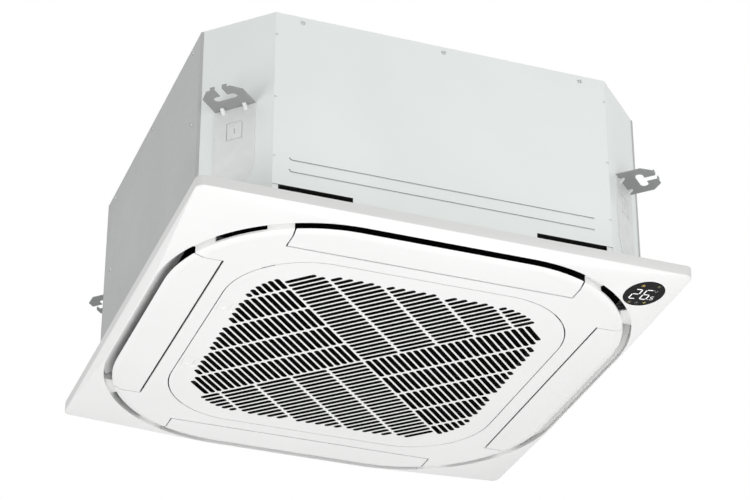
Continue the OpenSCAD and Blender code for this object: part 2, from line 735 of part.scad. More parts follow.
module turbo_fan() color("#e3e4e2") placed() {
    difference() {
        rotate_extrude($fn = 96) polygon([[0, hub_z], [boss_r, hub_z], [boss_r, bowl_floor - bowl_t],
            [bowl_r - boss_r, bowl_floor + boss_r], [bowl_r + bowl_t, motor_base - bowl_t],
            [bowl_r + 2*bowl_t, fan_top - bowl_t], [fan_r, fan_top - bowl_t], [fan_r, fan_top],
            [bowl_r + bowl_t, fan_top], [bowl_r, motor_base],
            [bowl_r - boss_r - bowl_t, bowl_floor + boss_r + bowl_t],
            [boss_r, bowl_floor + bowl_t], [boss_r, hub_z + boss_h], [0, hub_z + boss_h]]);
        translate([0, 0, hub_z - over]) cylinder(r = shaft_r + run_gap/4, h = boss_h + 2*over);
    }
    rotate_extrude($fn = 96) polygon([[eye_r, fan_base], [eye_r + shroud_t, fan_base],
        [eye_r + 3*shroud_t, fan_base + shroud_rise/3], [eye_r + 9*shroud_t, fan_base + 2*shroud_rise/3],
        [fan_r, fan_base + shroud_rise], [fan_r, fan_base + shroud_rise + shroud_t],
        [eye_r + 8*shroud_t, fan_base + 2*shroud_rise/3 + shroud_t],
        [eye_r + 2*shroud_t, fan_base + shroud_rise/3 + shroud_t], [eye_r, fan_base + shroud_t]]);
    intersection() {
        translate([0, 0, fan_base]) linear_extrude(fan_h) for (k = [0:fan_blades - 1])
            rotate([0, 0, 360*k/fan_blades]) polygon(concat(
                [for (i = [0:blade_steps]) let (p = blade_line(i/blade_steps))
                    p + blade_t/2*p/norm(p)],
                [for (i = [blade_steps:-1:0]) let (p = blade_line(i/blade_steps))
                    p - blade_t/2*p/norm(p)]));
        rotate_extrude($fn = 96) polygon([[bowl_r + 2*bowl_t, fan_base + shroud_rise],
            [eye_r, fan_base + shroud_rise/3], [eye_r + 2*shroud_t, fan_base + shroud_rise/3 + shroud_t/2],
            [eye_r + 8*shroud_t, fan_base + 2*shroud_rise/3 + shroud_t/2],
            [fan_r, fan_base + shroud_rise + shroud_t/2], [fan_r, fan_top - bowl_t/2],
            [bowl_r + bowl_t, fan_top - bowl_t/2]]);
    }
}

fan_nut_h = 8;
fan_nut_r = 11;

module fan_nut() color("#a2a7aa") placed() translate([0, 0, hub_z - fan_nut_h]) difference() {
    cylinder(r = fan_nut_r, h = fan_nut_h, $fn = 6);
    translate([0, 0, -over]) cylinder(r = shaft_r + run_gap/4, h = fan_nut_h + 2*over);
}

bell_t = 3;
bell_foot_w = 90;
bell_flange_in = 28;
bell_over = 10;
bell_base = pan_base - bell_t;
bell_flange_r = coil_mid - bell_flange_in;
bell_foot_r = throat_r + bell_foot_w;
bell_top = fan_base + bell_over;
bell_rise = bell_top - bell_base;
// Bell mouth curve: share of the rise, then share of the way in from foot to throat
bell_shares = [[0, 0], [0.04, 0.2], [0.12, 0.42], [0.25, 0.64], [0.42, 0.82], [0.62, 0.94],
    [0.82, 1], [1, 1]];
function bell_point(s, t) = [bell_foot_r - s[1]*bell_foot_w + t,
    bell_base + s[0]*bell_rise + (s[0] < 1 ? t/2 : 0)];

module bell_mouth() color("#4a4d50") placed() rotate_extrude($fn = 96) polygon(concat(
    [[bell_flange_r, bell_base]], [for (s = bell_shares) bell_point(s, 0)],
    [for (i = [len(bell_shares) - 1:-1:1]) bell_point(bell_shares[i], bell_t)],
    [[bell_foot_r + bell_t, bell_base + bell_t], [bell_flange_r, bell_base + bell_t]]));

// Drain pan with the trough under the coil

pan_hole_in = 66;
pan_h = 56;
trough_gap = 10;
pan_wall = 6;
sump_in = 94;
sump_out = 17;
sump_floor = 12;
channel_step = 4;
channel_margin = 16;
plug_in = 84;
plug_r = 9;
bolt_in = 54;
panel_bolt_r = 3;
bolt_deep = 9;
pan_hole_r = coil_mid - pan_hole_in;
pan_top = pan_base + pan_h;
trough_in = coil_mid - coil_t/2 - trough_gap;
trough_out = coil_mid + coil_t/2 + trough_gap;
pan_out = liner_in + seat_gap;
sump = [coil_mid - sump_in, coil_mid + sump_out];
sump_z = pan_base + sump_floor;
channel_half = well_half - channel_step;
channel_in = trough_out + pan_wall;
channel_out = body_half - channel_margin;
plug_at = coil_mid - plug_in;
bolt_at = coil_mid - bolt_in;
bolt_end = pan_base + bolt_deep;

module at_quarters() for (k = [0:3]) rotate([0, 0, 90*k]) children();

module drain_pan() color("#2f3234") placed() difference() {
    slab(pan_base, pan_top, octagon(pan_out));
    translate([0, 0, pan_base - over]) cylinder(r = pan_hole_r, h = body_h);
    slab(coil_base + pan_wall, pan_top + over, rounded(trough_in - pan_wall, coil_corner_r));
    ring(coil_base, pan_top + over, rounded(trough_out, coil_corner_r + coil_t/2),
        rounded(trough_in, coil_corner_r));
    at_quarters() block([-channel_half, channel_half], [-body_half, -channel_in],
        [pan_base - over, pan_top + over]);
    block(sump, sump, [sump_z, pan_top + over]);
    translate([plug_at, plug_at, pan_base - over]) cylinder(r = plug_r + run_gap, h = pan_top);
    at_quarters() translate([bolt_at, bolt_at, pan_base - over])
        cylinder(r = panel_bolt_r + run_gap, h = bolt_deep + over);
}

module drain_plug() color("#1f1f20") placed() translate([plug_at, plug_at, 0]) {
    translate([0, 0, pan_base]) cylinder(r = plug_r, h = sump_z - pan_base);
    translate([0, 0, pan_base - bell_t]) cylinder(r = plug_r + bell_t, h = bell_t);
}

// Drain pump, its impeller, hose and spigot

pump_at = [spigot_y, spigot_y];
pump_tube_r = 14;
pump_wall = 2;
pump_rise = 62;
pump_floor = sump_z + pump_rise;
pump_r = 26;
pump_body_h = 52;
pump_motor_r = 21;
pump_motor_h = 36;
pump_foot = 6;
float_step = 49;
float_at = pump_at - [0, float_step];
float_r = 11;
float_h = 18;
stem_r = 3;
stem_rise = 20;
stem_top = pump_floor + stem_rise;
pad_half = 6;
impeller_shaft_r = 2.5;
hose_r = 9;

module drain_pump() color("#e8e8e4") placed() translate([pump_at[0], pump_at[1], 0]) difference() {
    union() {
        tube(sump_z, pump_floor + over, pump_tube_r, pump_tube_r - pump_wall);
        translate([0, 0, pump_floor]) cylinder(r = pump_r, h = pump_body_h);
        translate([0, 0, pump_floor + pump_body_h]) cylinder(r = pump_motor_r, h = pump_motor_h);
        block([-pad_half, pad_half], [-pump_r - pad_half/2, 0], [pump_floor, stem_top]);
    }
    for (a = [0, 90]) rotate([0, 0, a]) translate([0, 0, sump_z])
        cube([3*pump_tube_r, pump_tube_r, 2*pump_foot], center = true);
    translate([0, 0, pump_floor - over]) cylinder(r = impeller_shaft_r + run_gap, h = pump_body_h);
    translate([0, 0, pump_floor + pump_body_h/2]) rod_x(0, 2*pump_r, hose_r + run_gap);
}

vane_rise = 16;
vane_h = 16;
vane_r = 10;
vane_z = sump_z + vane_rise;

module pump_impeller() color("#f0f0ec") placed() translate([pump_at[0], pump_at[1], 0]) {
    translate([0, 0, vane_z])
        cylinder(r = impeller_shaft_r, h = pump_floor + pump_body_h/2 - vane_z - hose_r - over);
    for (a = [0, 90]) rotate([0, 0, a]) translate([0, 0, vane_z + vane_h/2])
        cube([2*vane_r, pump_wall, vane_h], center = true);
}

module float_switch() color("#d8d8d4") placed() {
    translate([float_at[0], float_at[1], sump_z]) cylinder(r = stem_r, h = stem_top - sump_z);
    block([float_at[0] - pad_half, float_at[0] + pad_half],
        [float_at[1] - pad_half, pump_at[1] - pump_r - pad_half/2], [stem_top - pad_half, stem_top]);
    translate([float_at[0], float_at[1], sump_z]) cylinder(r = 2*stem_r, h = pump_foot);
}

module switch_float() color("#c9642f") placed() translate([float_at[0], float_at[1], 0])
    translate([0, 0, sump_z + pump_foot + seat_gap]) tube(0, float_h, float_r, stem_r + seat_gap);

hose_wall = 1.8;
hose_bend = 24;
hose_in = 70;
socket_in = 39;
socket_l = 15;
neck_in = 15;
spigot_out = 34;
spigot_wall = 3;
hose_up_x = body_half - hose_in;
socket_start = body_half - socket_in;
socket_end = socket_start + socket_l;
spigot_neck = body_half - neck_in;
spigot_end = body_half + spigot_out;

module hose_section(r) difference() {
    circle(r = r);
    circle(r = r - hose_wall);
}

// Hose from the pump's side up and out to the spigot
module drain_hose() color("#3a3d3f") placed() translate([0, pump_at[1], 0]) {
    low = pump_floor + pump_body_h/2;
    translate([pump_at[0] + pump_r - hose_r, 0, low]) rotate([0, 90, 0])
        linear_extrude(hose_up_x - hose_bend - pump_at[0] - pump_r + hose_r) hose_section(hose_r);
    translate([hose_up_x - hose_bend, 0, low + hose_bend]) rotate([90, 0, 0]) rotate([0, 0, -90])
        rotate_extrude(angle = 90) translate([hose_bend, 0]) hose_section(hose_r);
    translate([hose_up_x, 0, low + hose_bend])
        linear_extrude(spigot_z - low - 2*hose_bend) hose_section(hose_r);
    translate([hose_up_x + hose_bend, 0, spigot_z - hose_bend]) rotate([90, 0, 0]) rotate([0, 0, 90])
        rotate_extrude(angle = 90) translate([hose_bend, 0]) hose_section(hose_r);
    translate([hose_up_x + hose_bend, 0, spigot_z]) rotate([0, 90, 0])
        linear_extrude(socket_end - hose_up_x - hose_bend) hose_section(hose_r);
}

module drain_spigot() color("#e8e8e4") placed() translate([0, spigot_y, spigot_z]) difference() {
    union() {
        rod_x(socket_start, spigot_end, spigot_r);
        rod_x(body_half, body_half + spigot_wall, spigot_r + 2*spigot_wall);
    }
    rod_x(socket_start - over, socket_end, hose_r + run_gap);
    rod_x(socket_start, spigot_end, hose_r - hose_wall);
    rod_x(spigot_neck, spigot_end + over, spigot_r - spigot_wall);
}

// Electrical box beside the bell mouth

box_in = 53;
box_out = 31;
box_h = 46;
box_short = 150;
box_wall = 1.2;
aperture_in = 35;
aperture = grille_opening - aperture_in;
box_x = [box_short - aperture, aperture - box_short];
box_y = [bell_foot_r - box_in, bell_foot_r + box_out];
box_base = bell_base - box_h;

module electrical_box() color("#b9bdbf") placed() difference() {
    block(box_x, box_y, [box_base, bell_base]);
    block(box_x + box_wall*[1, -1], box_y + box_wall*[1, -1], [box_base - over, bell_base - box_wall]);
}

module electrical_cover() color("#c7cbcc") placed() block(box_x, box_y, [box_base - box_wall, box_base]);

board_t = 1.6;
board_drop = 19;
board_in = 8;
post_r = 3;
post_in = 8;
board_z = bell_base - board_drop;
board_x = box_x + board_in*[1, -1];
board_y = box_y + board_in*[1, -1];
// Parts on the board: two shares for the place, then length, width and height
board_parts = [[0.06, 0.14, 34, 30, 22], [0.22, 0.2, 18, 18, 25], [0.33, 0.24, 26, 14, 12],
    [0.46, 0.14, 40, 24, 6], [0.66, 0.24, 22, 30, 16], [0.24, 0.62, 30, 12, 9],
    [0.46, 0.66, 12, 12, 18], [0.82, 0.2, 28, 42, 17]];

module circuit_board() color("#2f6b45") placed() {
    block(board_x, board_y, [board_z, board_z + board_t]);
    for (x = board_x + post_in*[1, -1], y = board_y + post_in*[1, -1])
        translate([x, y, board_z]) cylinder(r = post_r, h = board_drop - box_wall);
    for (s = board_parts) translate([board_x[0] + s[0]*(board_x[1] - board_x[0]),
        board_y[0] + s[1]*(board_y[1] - board_y[0]), board_z - s[4]])
        cube([s[2], s[3], s[4]]);
}

module cable_grommet() color("#202022") placed() translate([0, grommet_y, spigot_z]) difference() {
    union() {
        rod_x(body_half - flange_w/2, body_half + 3*sheet, grommet_r - sheet - run_gap);
        rod_x(body_half, body_half + 3*sheet, grommet_r + 2*sheet);
    }
    rod_x(body_half - flange_w, body_half + flange_w, cable_hole_r);
}

// Panel

module border_solid(inset, lift) hull() {
    slab(contour_z + lift, contour_z + lift + panel_wall, rounded(contour_half - inset, contour_r - inset));
    slab(lift, rim_h + lift, rounded(panel_half - inset, panel_corner_r - inset));
}

module deck_solid(inset, lift) {
    hull() {
        slab(deck_z + lift, deck_z + lift + over,
            rounded(deck_half - deck_margin - inset/2, deck_r - deck_margin - inset/2));
        slab(margin_z + lift - over, margin_z + lift, rounded(deck_half - inset, deck_r - inset));
    }
    slab(margin_z + lift, groove_z, rounded(deck_half - inset, deck_r - inset));
}

module deck_shell() difference() {
    deck_solid(0, 0);
    deck_solid(panel_wall, panel_wall);
    slab(groove_z - over, groove_z + over, rounded(deck_half + over, deck_r));
}

flange_z = 8;
flange_t = 3;
aperture_r = 130;
seam_gap = 4.5;
seam_wall = grille_opening + seam_gap;
ring_top = deck_z + grille_h;

// Hinge of the grille: lugs on the panel frame, and arms that reach round its edge
hinge_end = 23;
hinge_lug_t = 4;
hinge_lug_half = 6;
arm_t = 5;
arm_w = 4;
arm_gap = 1;
hinge_x = grille_opening + hinge_out;
hinge_z = deck_z + hinge_up;
hinge_lug_y = grille_opening - grille_opening_r - hinge_end;
arm_end = hinge_lug_y - hinge_lug_t/2 - arm_gap;
arm_start = arm_end - arm_t;
arm_in = norm([hinge_out, hinge_up]) + arm_gap;
arm_out = arm_in + arm_w;
motor_can_r = 12;
motor_can_l = 18;

module display_frame() rotate([0, 0, -45]) translate([display_out, 0, display_z])
    rotate([0, -display_tilt, 0]) children();

contour_diagonal = (contour_half - contour_r)*sqrt(2) + contour_r;
panel_diagonal = (panel_half - panel_corner_r)*sqrt(2) + panel_corner_r;
display_out = contour_diagonal + display_in;
display_tilt = atan(contour_drop/(panel_diagonal - contour_diagonal));
display_z = contour_z + (display_out - contour_diagonal)*tan(display_tilt);

// Walls round the four outlets, kept inside the deck and the contour
module outlet_walls() difference() {
    at_quarters() difference() {
        block([-well_half - panel_wall, well_half + panel_wall],
            [-contour_half + panel_wall/2, -well_wall], [deck_z + over, rim_h]);
        block([-well_half, well_half], [-panel_half, -well_wall - panel_wall],
            [deck_z - over, rim_h + over]);
    }
    difference() {
        block([-panel_half, panel_half], [-panel_half, panel_half], [deck_z - over, groove_z]);
        deck_solid(panel_wall/2, panel_wall/2);
    }
    difference() {
        block([-panel_side, panel_side], [-panel_side, panel_side], [groove_z - over, rim_h + over]);
        slab(groove_z - 2*over, rim_h + 2*over,
            rounded(contour_half - panel_wall/2, contour_r - panel_wall/2));
    }
}

corner_slot_up = 3;
corner_slot_z = margin_z + corner_slot_up;
corner_slot_h = groove_z + panel_wall + over - corner_slot_z;

// Part of the corner slots' ring that lies in the groove's floor and its inner wall
module corner_slot() translate([(contour_half - contour_r)*sqrt(2), 0, corner_slot_z]) intersection() {
    tube(0, corner_slot_h, contour_r - panel_wall - over/4, contour_r - groove_w - panel_wall);
    linear_extrude(corner_slot_h) polygon([[0, 0],
        panel_side*[cos(corner_slot_angle/2), sin(corner_slot_angle/2)],
        panel_side*[cos(corner_slot_angle/2), -sin(corner_slot_angle/2)]]);
}

module panel_frame() color("white") placed() difference() {
    union() {
        difference() {
            border_solid(0, 0);
            border_solid(panel_wall, panel_wall);
            slab(contour_z - over, rim_h + over,
                rounded(contour_half - panel_wall, contour_r - panel_wall));
            slab(rim_h, 2*rim_h, rounded(panel_side, panel_corner_r));
        }
        ring(contour_z, rim_h, rounded(contour_half, contour_r),
            rounded(contour_half - panel_wall, contour_r - panel_wall));
        ring(groove_z, groove_z + panel_wall,
            rounded(contour_half - panel_wall/2, contour_r - panel_wall/2),
            rounded(deck_half - panel_wall, deck_r - panel_wall));
        difference() {
            union() {
                deck_shell();
                ring(margin_z, groove_z + over, rounded(deck_half, deck_r),
                    rounded(deck_half - panel_wall, deck_r - panel_wall));
            }
            slab(deck_z - over, deck_z + grille_h, rounded(grille_opening, grille_opening_r));
        }
        ring(deck_z, rim_h, rounded(seam_wall + panel_wall, grille_opening_r),
            rounded(seam_wall, grille_opening_r));
        ring(flange_z, flange_z + flange_t, rounded(seam_wall + panel_wall/2, grille_opening_r),
            rounded(aperture, aperture_r));
        outlet_walls();
        for (side = [-1, 1]) translate([hinge_x, side*hinge_lug_y, 0])
            block([-hinge_lug_half, hinge_lug_half], [-hinge_lug_t/2, hinge_lug_t/2],
                [deck_z + panel_wall - over, hinge_z + hinge_lug_half]);
    }
    intersection() {
        at_quarters() block([-well_half, well_half], [-panel_half, -well_inner],
            [deck_z - over, groove_z + panel_wall + over]);
        slab(deck_z - 2*over, rim_h, rounded(contour_half - panel_wall, contour_r - panel_wall));
    }
    at_quarters() {
        rotate([0, 0, 45]) corner_slot();
        translate([0, -louver_axis_in, louver_axis_z])
            rod_x(-well_half - 2*panel_wall, well_half + 2*panel_wall, louver_pin_r + run_gap);
        translate([bolt_at, bolt_at, flange_z - over])
            cylinder(r = panel_bolt_r + seat_gap, h = flange_t + 2*over);
    }
    for (side = [0, 1]) mirror([0, side, 0]) {
        translate([hinge_x, hinge_lug_y, hinge_z])
            rod_y(-hinge_lug_t, hinge_lug_t, hinge_pin_r + run_gap);
        block([seam_wall - over, seam_wall + panel_wall + over],
            [arm_start - arm_gap, arm_end + arm_gap],
            [deck_z + panel_wall, hinge_z + arm_out + arm_gap]);
    }
    display_frame() translate([0, 0, -2*panel_wall])
        cylinder(r = display_r + run_gap, h = 4*panel_wall, $fn = 96);
}

guide_drop = 8;
guide_out = 8;
guide_lip = 4;
throat_z = -12;
guide_top = body_base - guide_drop;
guide_back = contour_half - guide_lip;

// Dark foam block behind the panel, with the four outlet ducts
module air_guide() color("#1c1d1f") placed() difference() {
    union() {
        slab(rim_h, guide_top, octagon(guide_out));
        at_quarters() intersection() {
            translate([-well_half + seat_gap, 0, 0]) rotate([90, 0, 90])
                linear_extrude(2*(well_half - seat_gap)) polygon([[-channel_out, rim_h + over],
                    [-channel_out, rim_h + groove_z], [-guide_back, throat_z],
                    [-panel_half, throat_z], [-panel_half, rim_h + over]]);
            slab(throat_z - over, rim_h + 2*over,
                rounded(contour_half - panel_wall - seat_gap, contour_r - panel_wall - seat_gap));
            union() {
                slab(throat_z - over, rim_h, rounded(panel_half, panel_corner_r));
                slab(rim_h - over, rim_h + 2*over, octagon(guide_out));
            }
        }
    }
    slab(rim_h - over, guide_top + over, rounded(aperture, aperture_r));
    at_quarters() {
        block([-channel_half, channel_half], [-channel_out, -well_wall - panel_wall],
            [rim_h - over, guide_top + over]);
        translate([bolt_at, bolt_at, rim_h - over])
            cylinder(r = panel_bolt_r + seat_gap, h = guide_top);
    }
}

seal_w = 18;
seal_step = 12;
seal_in = 3;
inner_seal = aperture + seal_step;

module panel_seals() color("#303234") placed() {
    difference() {
        ring(guide_top, body_base, octagon(guide_out + seal_in), octagon(guide_out + seal_in + seal_w));
        at_quarters() block([-channel_half, channel_half], [-channel_out, 0],
            [guide_top - over, body_base + over]);
    }
    ring(guide_top, pan_base, rounded(inner_seal + 2*seal_w, aperture_r),
        rounded(inner_seal, aperture_r - 2*seal_w));
}

module panel_bolts() color("#a2a7aa") placed() at_quarters() translate([bolt_at, bolt_at, 0]) {
    translate([0, 0, flange_z - bolt_head_h])
        cylinder(r = 2*panel_bolt_r, h = bolt_head_h - box_wall, $fn = 6);
    translate([0, 0, flange_z - box_wall]) cylinder(r = 3*panel_bolt_r, h = box_wall);
    translate([0, 0, flange_z - bolt_head_h/2])
        cylinder(r = panel_bolt_r, h = bolt_end - flange_z + bolt_head_h/2 - over);
}

louver_lug_t = 3;
louver_lug_half = 9;
louver_pin_l = 12;

// Louver on the front side
module louver() {
    intersection() {
        deck_shell();
        block([-louver_half, louver_half], [-panel_half, -louver_inner], [deck_z - over, margin_z]);
    }
    for (side = [0, 1]) mirror([side, 0, 0]) translate([louver_half, -louver_axis_in, 0]) {
        block([-louver_lug_t, 0], [-louver_lug_half, louver_lug_half],
            [deck_z + panel_wall/2, louver_axis_z + 2*louver_pin_r]);
        translate([0, 0, louver_axis_z]) rod_x(-louver_lug_t, louver_pin_l, louver_pin_r);
    }
}

module front_louver() color("white") placed() louver();
module right_louver() color("white") placed() rotate([0, 0, 90]) louver();
module back_louver() color("white") placed() rotate([0, 0, 180]) louver();
module left_louver() color("white") placed() rotate([0, 0, 270]) louver();

module swing_motors() color("#8d9295") placed() at_quarters()
    translate([well_half + panel_wall, -louver_axis_in, louver_axis_z]) difference() {
        union() {
            rod_x(0, motor_can_l, motor_can_r);
            block([0, panel_wall], [-motor_can_r, 2*motor_can_r], [-motor_can_r/2, motor_can_r/2]);
        }
        rod_x(-over, motor_can_l - panel_wall, louver_pin_r + run_gap);
    }

// Intake grille

grille_half = grille_opening - grille_joint;
grille_r = grille_opening_r - grille_joint;
grille_top = deck_z + grille_t;

// Distance of a point from the slotted field's outline, less than zero inside
function field_gap(p) = let (q = [abs(p[0]), abs(p[1])] - (slot_field - slot_field_r)*[1, 1])
    norm([max(q[0], 0), max(q[1], 0)]) + min(max(q[0], q[1]), 0) - slot_field_r;

// How far a slot may run along +Y before its round end leaves the field, by halving
function slot_reach(x, low, high, n = 16) = n == 0 ? low : let (mid = (low + high)/2)
    field_gap(turned([x, mid])) < -slot_w/2 ? slot_reach(x, mid, high, n - 1)
        : slot_reach(x, low, mid, n - 1);
function turned(p) = [p[0] + p[1], p[1] - p[0]]/sqrt(2);

// One quarter of the slots, in a frame turned by 45 degrees
module quarter_slots() {
    rows = ceil(2*slot_field/slot_pitch);
    for (i = [0:rows - 1]) let (x = (i + 1/2)*slot_pitch,
            reach = slot_reach(x, 0, 2*slot_field) + slot_w/2)
        for (k = [0:floor(reach/rib_pitch)]) let (from = k*rib_pitch + rib_w/2,
                to = min((k + 1)*rib_pitch - rib_w/2, reach))
            if (to - from > slot_w && x < slot_field*sqrt(2)) translate([x, (from + to)/2]) rotate(90)
                stadium(to - from, slot_w);
}

// Latches, each in a raised frame behind its window
latch_edge = 5;
latch_frame_w = 2.5;
latch_frame_h = 3.4;
button_t = 1.4;
grip_deep = 0.8;
stem_in = 9;
stem_l = 6;
stem_w = 10;
tongue_t = 2;
tongue_back = 1.5;
latch_gap = 0.4;
latch_x = -grille_half + latch_l/2 + latch_edge;
latch_offset = grille_opening - grille_opening_r - latch_in;
latch_top = deck_z + latch_frame_h;
stem_x = latch_x - latch_l/2 + latch_gap + stem_in;

module intake_grille() color("white") placed() difference() {
    union() {
        translate([0, 0, deck_z]) linear_extrude(grille_t) difference() {
            polygon(rounded(grille_half, grille_r));
            for (k = [0:3]) rotate(-45 + 90*k) quarter_slots();
        }
        ring(deck_z, ring_top, rounded(grille_half, grille_r),
            rounded(grille_half - flange_t, grille_r - flange_t));
        for (side = [-1, 1]) translate([latch_x, side*latch_offset, deck_z]) linear_extrude(latch_frame_h)
            square([latch_l, latch_w] + 2*latch_frame_w*[1, 1], center = true);
    }
    for (side = [-1, 1]) translate([0, side*latch_offset, 0]) {
        translate([latch_x, 0, deck_z - over]) linear_extrude(button_t + run_gap + over)
            square([latch_l, latch_w], center = true);
        block([stem_x - latch_gap, stem_x + stem_l + latch_travel + latch_gap],
            [-stem_w/2 - latch_gap, stem_w/2 + latch_gap], [deck_z, latch_top + over]);
        block([-grille_half - over, -grille_half + flange_t + over],
            [-latch_w/4 - latch_gap, latch_w/4 + latch_gap],
            [latch_top, latch_top + tongue_t + 2*latch_gap]);
    }
    for (side = [0, 1]) mirror([0, side, 0]) block([grille_half - flange_t - over, grille_half + over],
        [arm_start - seat_gap, arm_end + seat_gap], [grille_top, ring_top + over]);
}

arm_foot_l = 14;
arm_foot_t = 2;
eye_wall = 1.5;
spoke_w = 5;

// Arms of the grille's hinge: a foot on the plate, a hook round the opening's edge and a pin
module grille_hinges() color("white") placed() for (side = [0, 1]) mirror([0, side, 0])
    translate([hinge_x, 0, hinge_z]) {
        translate([0, arm_end, 0]) rotate([90, 0, 0]) linear_extrude(arm_t) {
            difference() {
                circle(r = arm_out);
                circle(r = arm_in);
                translate([spoke_w/2, -arm_out]) square([arm_out, 2*arm_out]);
                translate([-2*arm_out, grille_top - hinge_z - 2*arm_out])
                    square([4*arm_out, 2*arm_out]);
            }
            translate([-spoke_w/2, 0]) square([spoke_w, arm_in + arm_w/2]);
            circle(r = hinge_pin_r + eye_wall);
        }
        block([-arm_out - arm_foot_l, -arm_in - arm_gap], [arm_start, arm_end],
            [grille_top - hinge_z, grille_top - hinge_z + arm_foot_t]);
        rod_y(arm_start, hinge_lug_y + hinge_lug_t/2, hinge_pin_r);
    }

// Sliding latch: button in the pocket, stem through the plate and bolt above it
module latch(side) translate([0, side*latch_offset, 0]) {
    difference() {
        block([latch_x - latch_l/2 + latch_gap, latch_x + latch_l/2 - latch_travel - latch_gap],
            [-latch_w/2 + latch_gap, latch_w/2 - latch_gap], [deck_z, deck_z + button_t]);
        block([latch_x - latch_l/4, latch_x], [-latch_w/4, latch_w/4],
            [deck_z - over, deck_z + grip_deep]);
    }
    block([stem_x, stem_x + stem_l], [-stem_w/2, stem_w/2],
        [deck_z + button_t/2, latch_top + latch_gap + tongue_t/2]);
    block([-grille_half + tongue_back, stem_x + stem_l + latch_travel], [-latch_w/4, latch_w/4],
        [latch_top + run_gap, latch_top + run_gap + tongue_t]);
}

module front_latch() color("white") placed() latch(-1);
module back_latch() color("white") placed() latch(1);

filter_in = 39;
filter_half = grille_half - filter_in;
filter_r = 130;
filter_t = 5;
filter_rim = 10;
filter_ribs = 3;
filter_rib_w = 3;
mesh_t = 0.8;

module filter_frame() color("#18191a") placed() translate([0, 0, grille_top]) {
    ring(0, filter_t, rounded(filter_half, filter_r),
        rounded(filter_half - filter_rim, filter_r - filter_rim));
    for (i = [1:filter_ribs], a = [0, 90]) rotate([0, 0, a])
        translate([filter_half*(2*i/(filter_ribs + 1) - 1), 0, filter_t/2])
            cube([filter_rib_w, 2*(filter_half - filter_rim/2), filter_t], center = true);
}

module filter_mesh() color("#0f1011") placed()
    slab(grille_top + filter_t, grille_top + filter_t + mesh_t,
        rounded(filter_half - filter_rim/2, filter_r - filter_rim/2));

display_t = 2.6;
display_step = 1;
display_box_h = 11;

module display_window() color("#0c0d0f") placed() display_frame() {
    cylinder(r = display_r, h = display_t + over, $fn = 96);
    translate([0, 0, display_t]) cylinder(r = display_r - display_step, h = display_box_h, $fn = 96);
}

top_plate();
front_panel();
back_panel();
left_panel();
right_panel();
front_left_corner();
front_right_corner();
back_right_corner();
back_left_corner();
front_left_hanger();
front_right_hanger();
back_right_hanger();
back_left_hanger();
casing_screws();
wall_lining();
ceiling_lining();
coil_fins();
coil_bends();
coil_end_plates();
gas_header();
distributor();
gas_pipe();
liquid_pipe();
pipe_unions();
pipe_cover();
fan_motor();
motor_mounts();
motor_bolts();
motor_shaft();
turbo_fan();
fan_nut();
bell_mouth();
drain_pan();
drain_plug();
drain_pump();
pump_impeller();
float_switch();
switch_float();
drain_hose();
drain_spigot();
electrical_box();
electrical_cover();
circuit_board();
cable_grommet();
panel_frame();
air_guide();
panel_seals();
panel_bolts();
front_louver();
right_louver();
back_louver();
left_louver();
swing_motors();
intake_grille();
grille_hinges();
front_latch();
back_latch();
filter_frame();
filter_mesh();
display_window();
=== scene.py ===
"""Looks of the ceiling cassette air conditioner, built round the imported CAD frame. Metres."""

import json
import math

import bpy
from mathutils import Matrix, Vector


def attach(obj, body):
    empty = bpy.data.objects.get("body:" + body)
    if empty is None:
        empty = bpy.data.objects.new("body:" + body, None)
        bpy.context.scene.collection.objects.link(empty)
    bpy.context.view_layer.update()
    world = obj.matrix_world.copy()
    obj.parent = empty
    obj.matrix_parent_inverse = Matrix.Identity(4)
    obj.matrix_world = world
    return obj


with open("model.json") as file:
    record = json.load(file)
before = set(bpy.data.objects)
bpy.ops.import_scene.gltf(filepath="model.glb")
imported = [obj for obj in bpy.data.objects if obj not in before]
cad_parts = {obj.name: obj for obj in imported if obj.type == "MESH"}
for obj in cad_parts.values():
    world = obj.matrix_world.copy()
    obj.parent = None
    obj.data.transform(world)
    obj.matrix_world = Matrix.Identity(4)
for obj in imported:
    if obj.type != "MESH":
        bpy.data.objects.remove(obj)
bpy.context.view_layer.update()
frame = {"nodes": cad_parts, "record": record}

MM = 0.001
NODES = frame["nodes"]
SLOT_OF = {s["node"]: s["material_slot"] for s in frame["record"]["subparts"]}
# Height of the panel's outer edge
PANEL_EDGE_Z = -230 * MM

# Levels, counted from the panel's edge, between which a material changes its tone
BRACKET_LEVEL = -PANEL_EDGE_Z
PLATE_LEVELS = BRACKET_LEVEL - 1.0 * MM, BRACKET_LEVEL - 0.2 * MM
NOTCH_LEVELS = 60.0 * MM, 61.0 * MM
RIM_LEVELS = -0.8 * MM, 0.8 * MM
LIP_LEVELS = -12.0 * MM, 400.0 * MM
OUTLET_LEVELS = -23.4 * MM, -23.0 * MM
SLOT_LEVELS = -26.75 * MM, -26.35 * MM

# Outlets behind the louvers, from the panel's middle: half length, inner wall, middle and outer end
OUTLET_HALF = 279.0 * MM
OUTLET_INNER = 357.0 * MM, 362.0 * MM
OUTLET_MIDDLE = 400.0 * MM
OUTLET_OUTER = 460.0 * MM
# Half width of the grille's field of slots
SLOT_FIELD = 294.5 * MM
WALL_SLACK = 0.3 * MM

# Tones of painted shade on hidden and shaded faces, and of painted light on the outlets' lips
NOTCH_SHADE_TONE = (0.01, 0.01, 0.01)
SHADE_TONE = (0.02, 0.02, 0.02)
BEAD_SHADE_TONE = (0.40, 0.41, 0.405)
RIM_SHADE_TONE = (0.70, 0.70, 0.695)
LIP_LIGHT_TONE = (0.92, 0.92, 0.915)
PLATE_SHADE_TONE = (0.33, 0.335, 0.335)
# Face slope, 0 upright and 1 level, that counts as upright, and as level
UPRIGHT, LEVEL = 0.2, 0.9


# Camera

CAMERA_AZIMUTH = math.radians(-20.12)
CAMERA_ELEVATION = math.radians(-30.07)
CAMERA_DISTANCE = 4553.33 * MM
CAMERA_TARGET = Vector((-109.03 * MM, -364.92 * MM, PANEL_EDGE_Z))
LENS_MM = 121.3


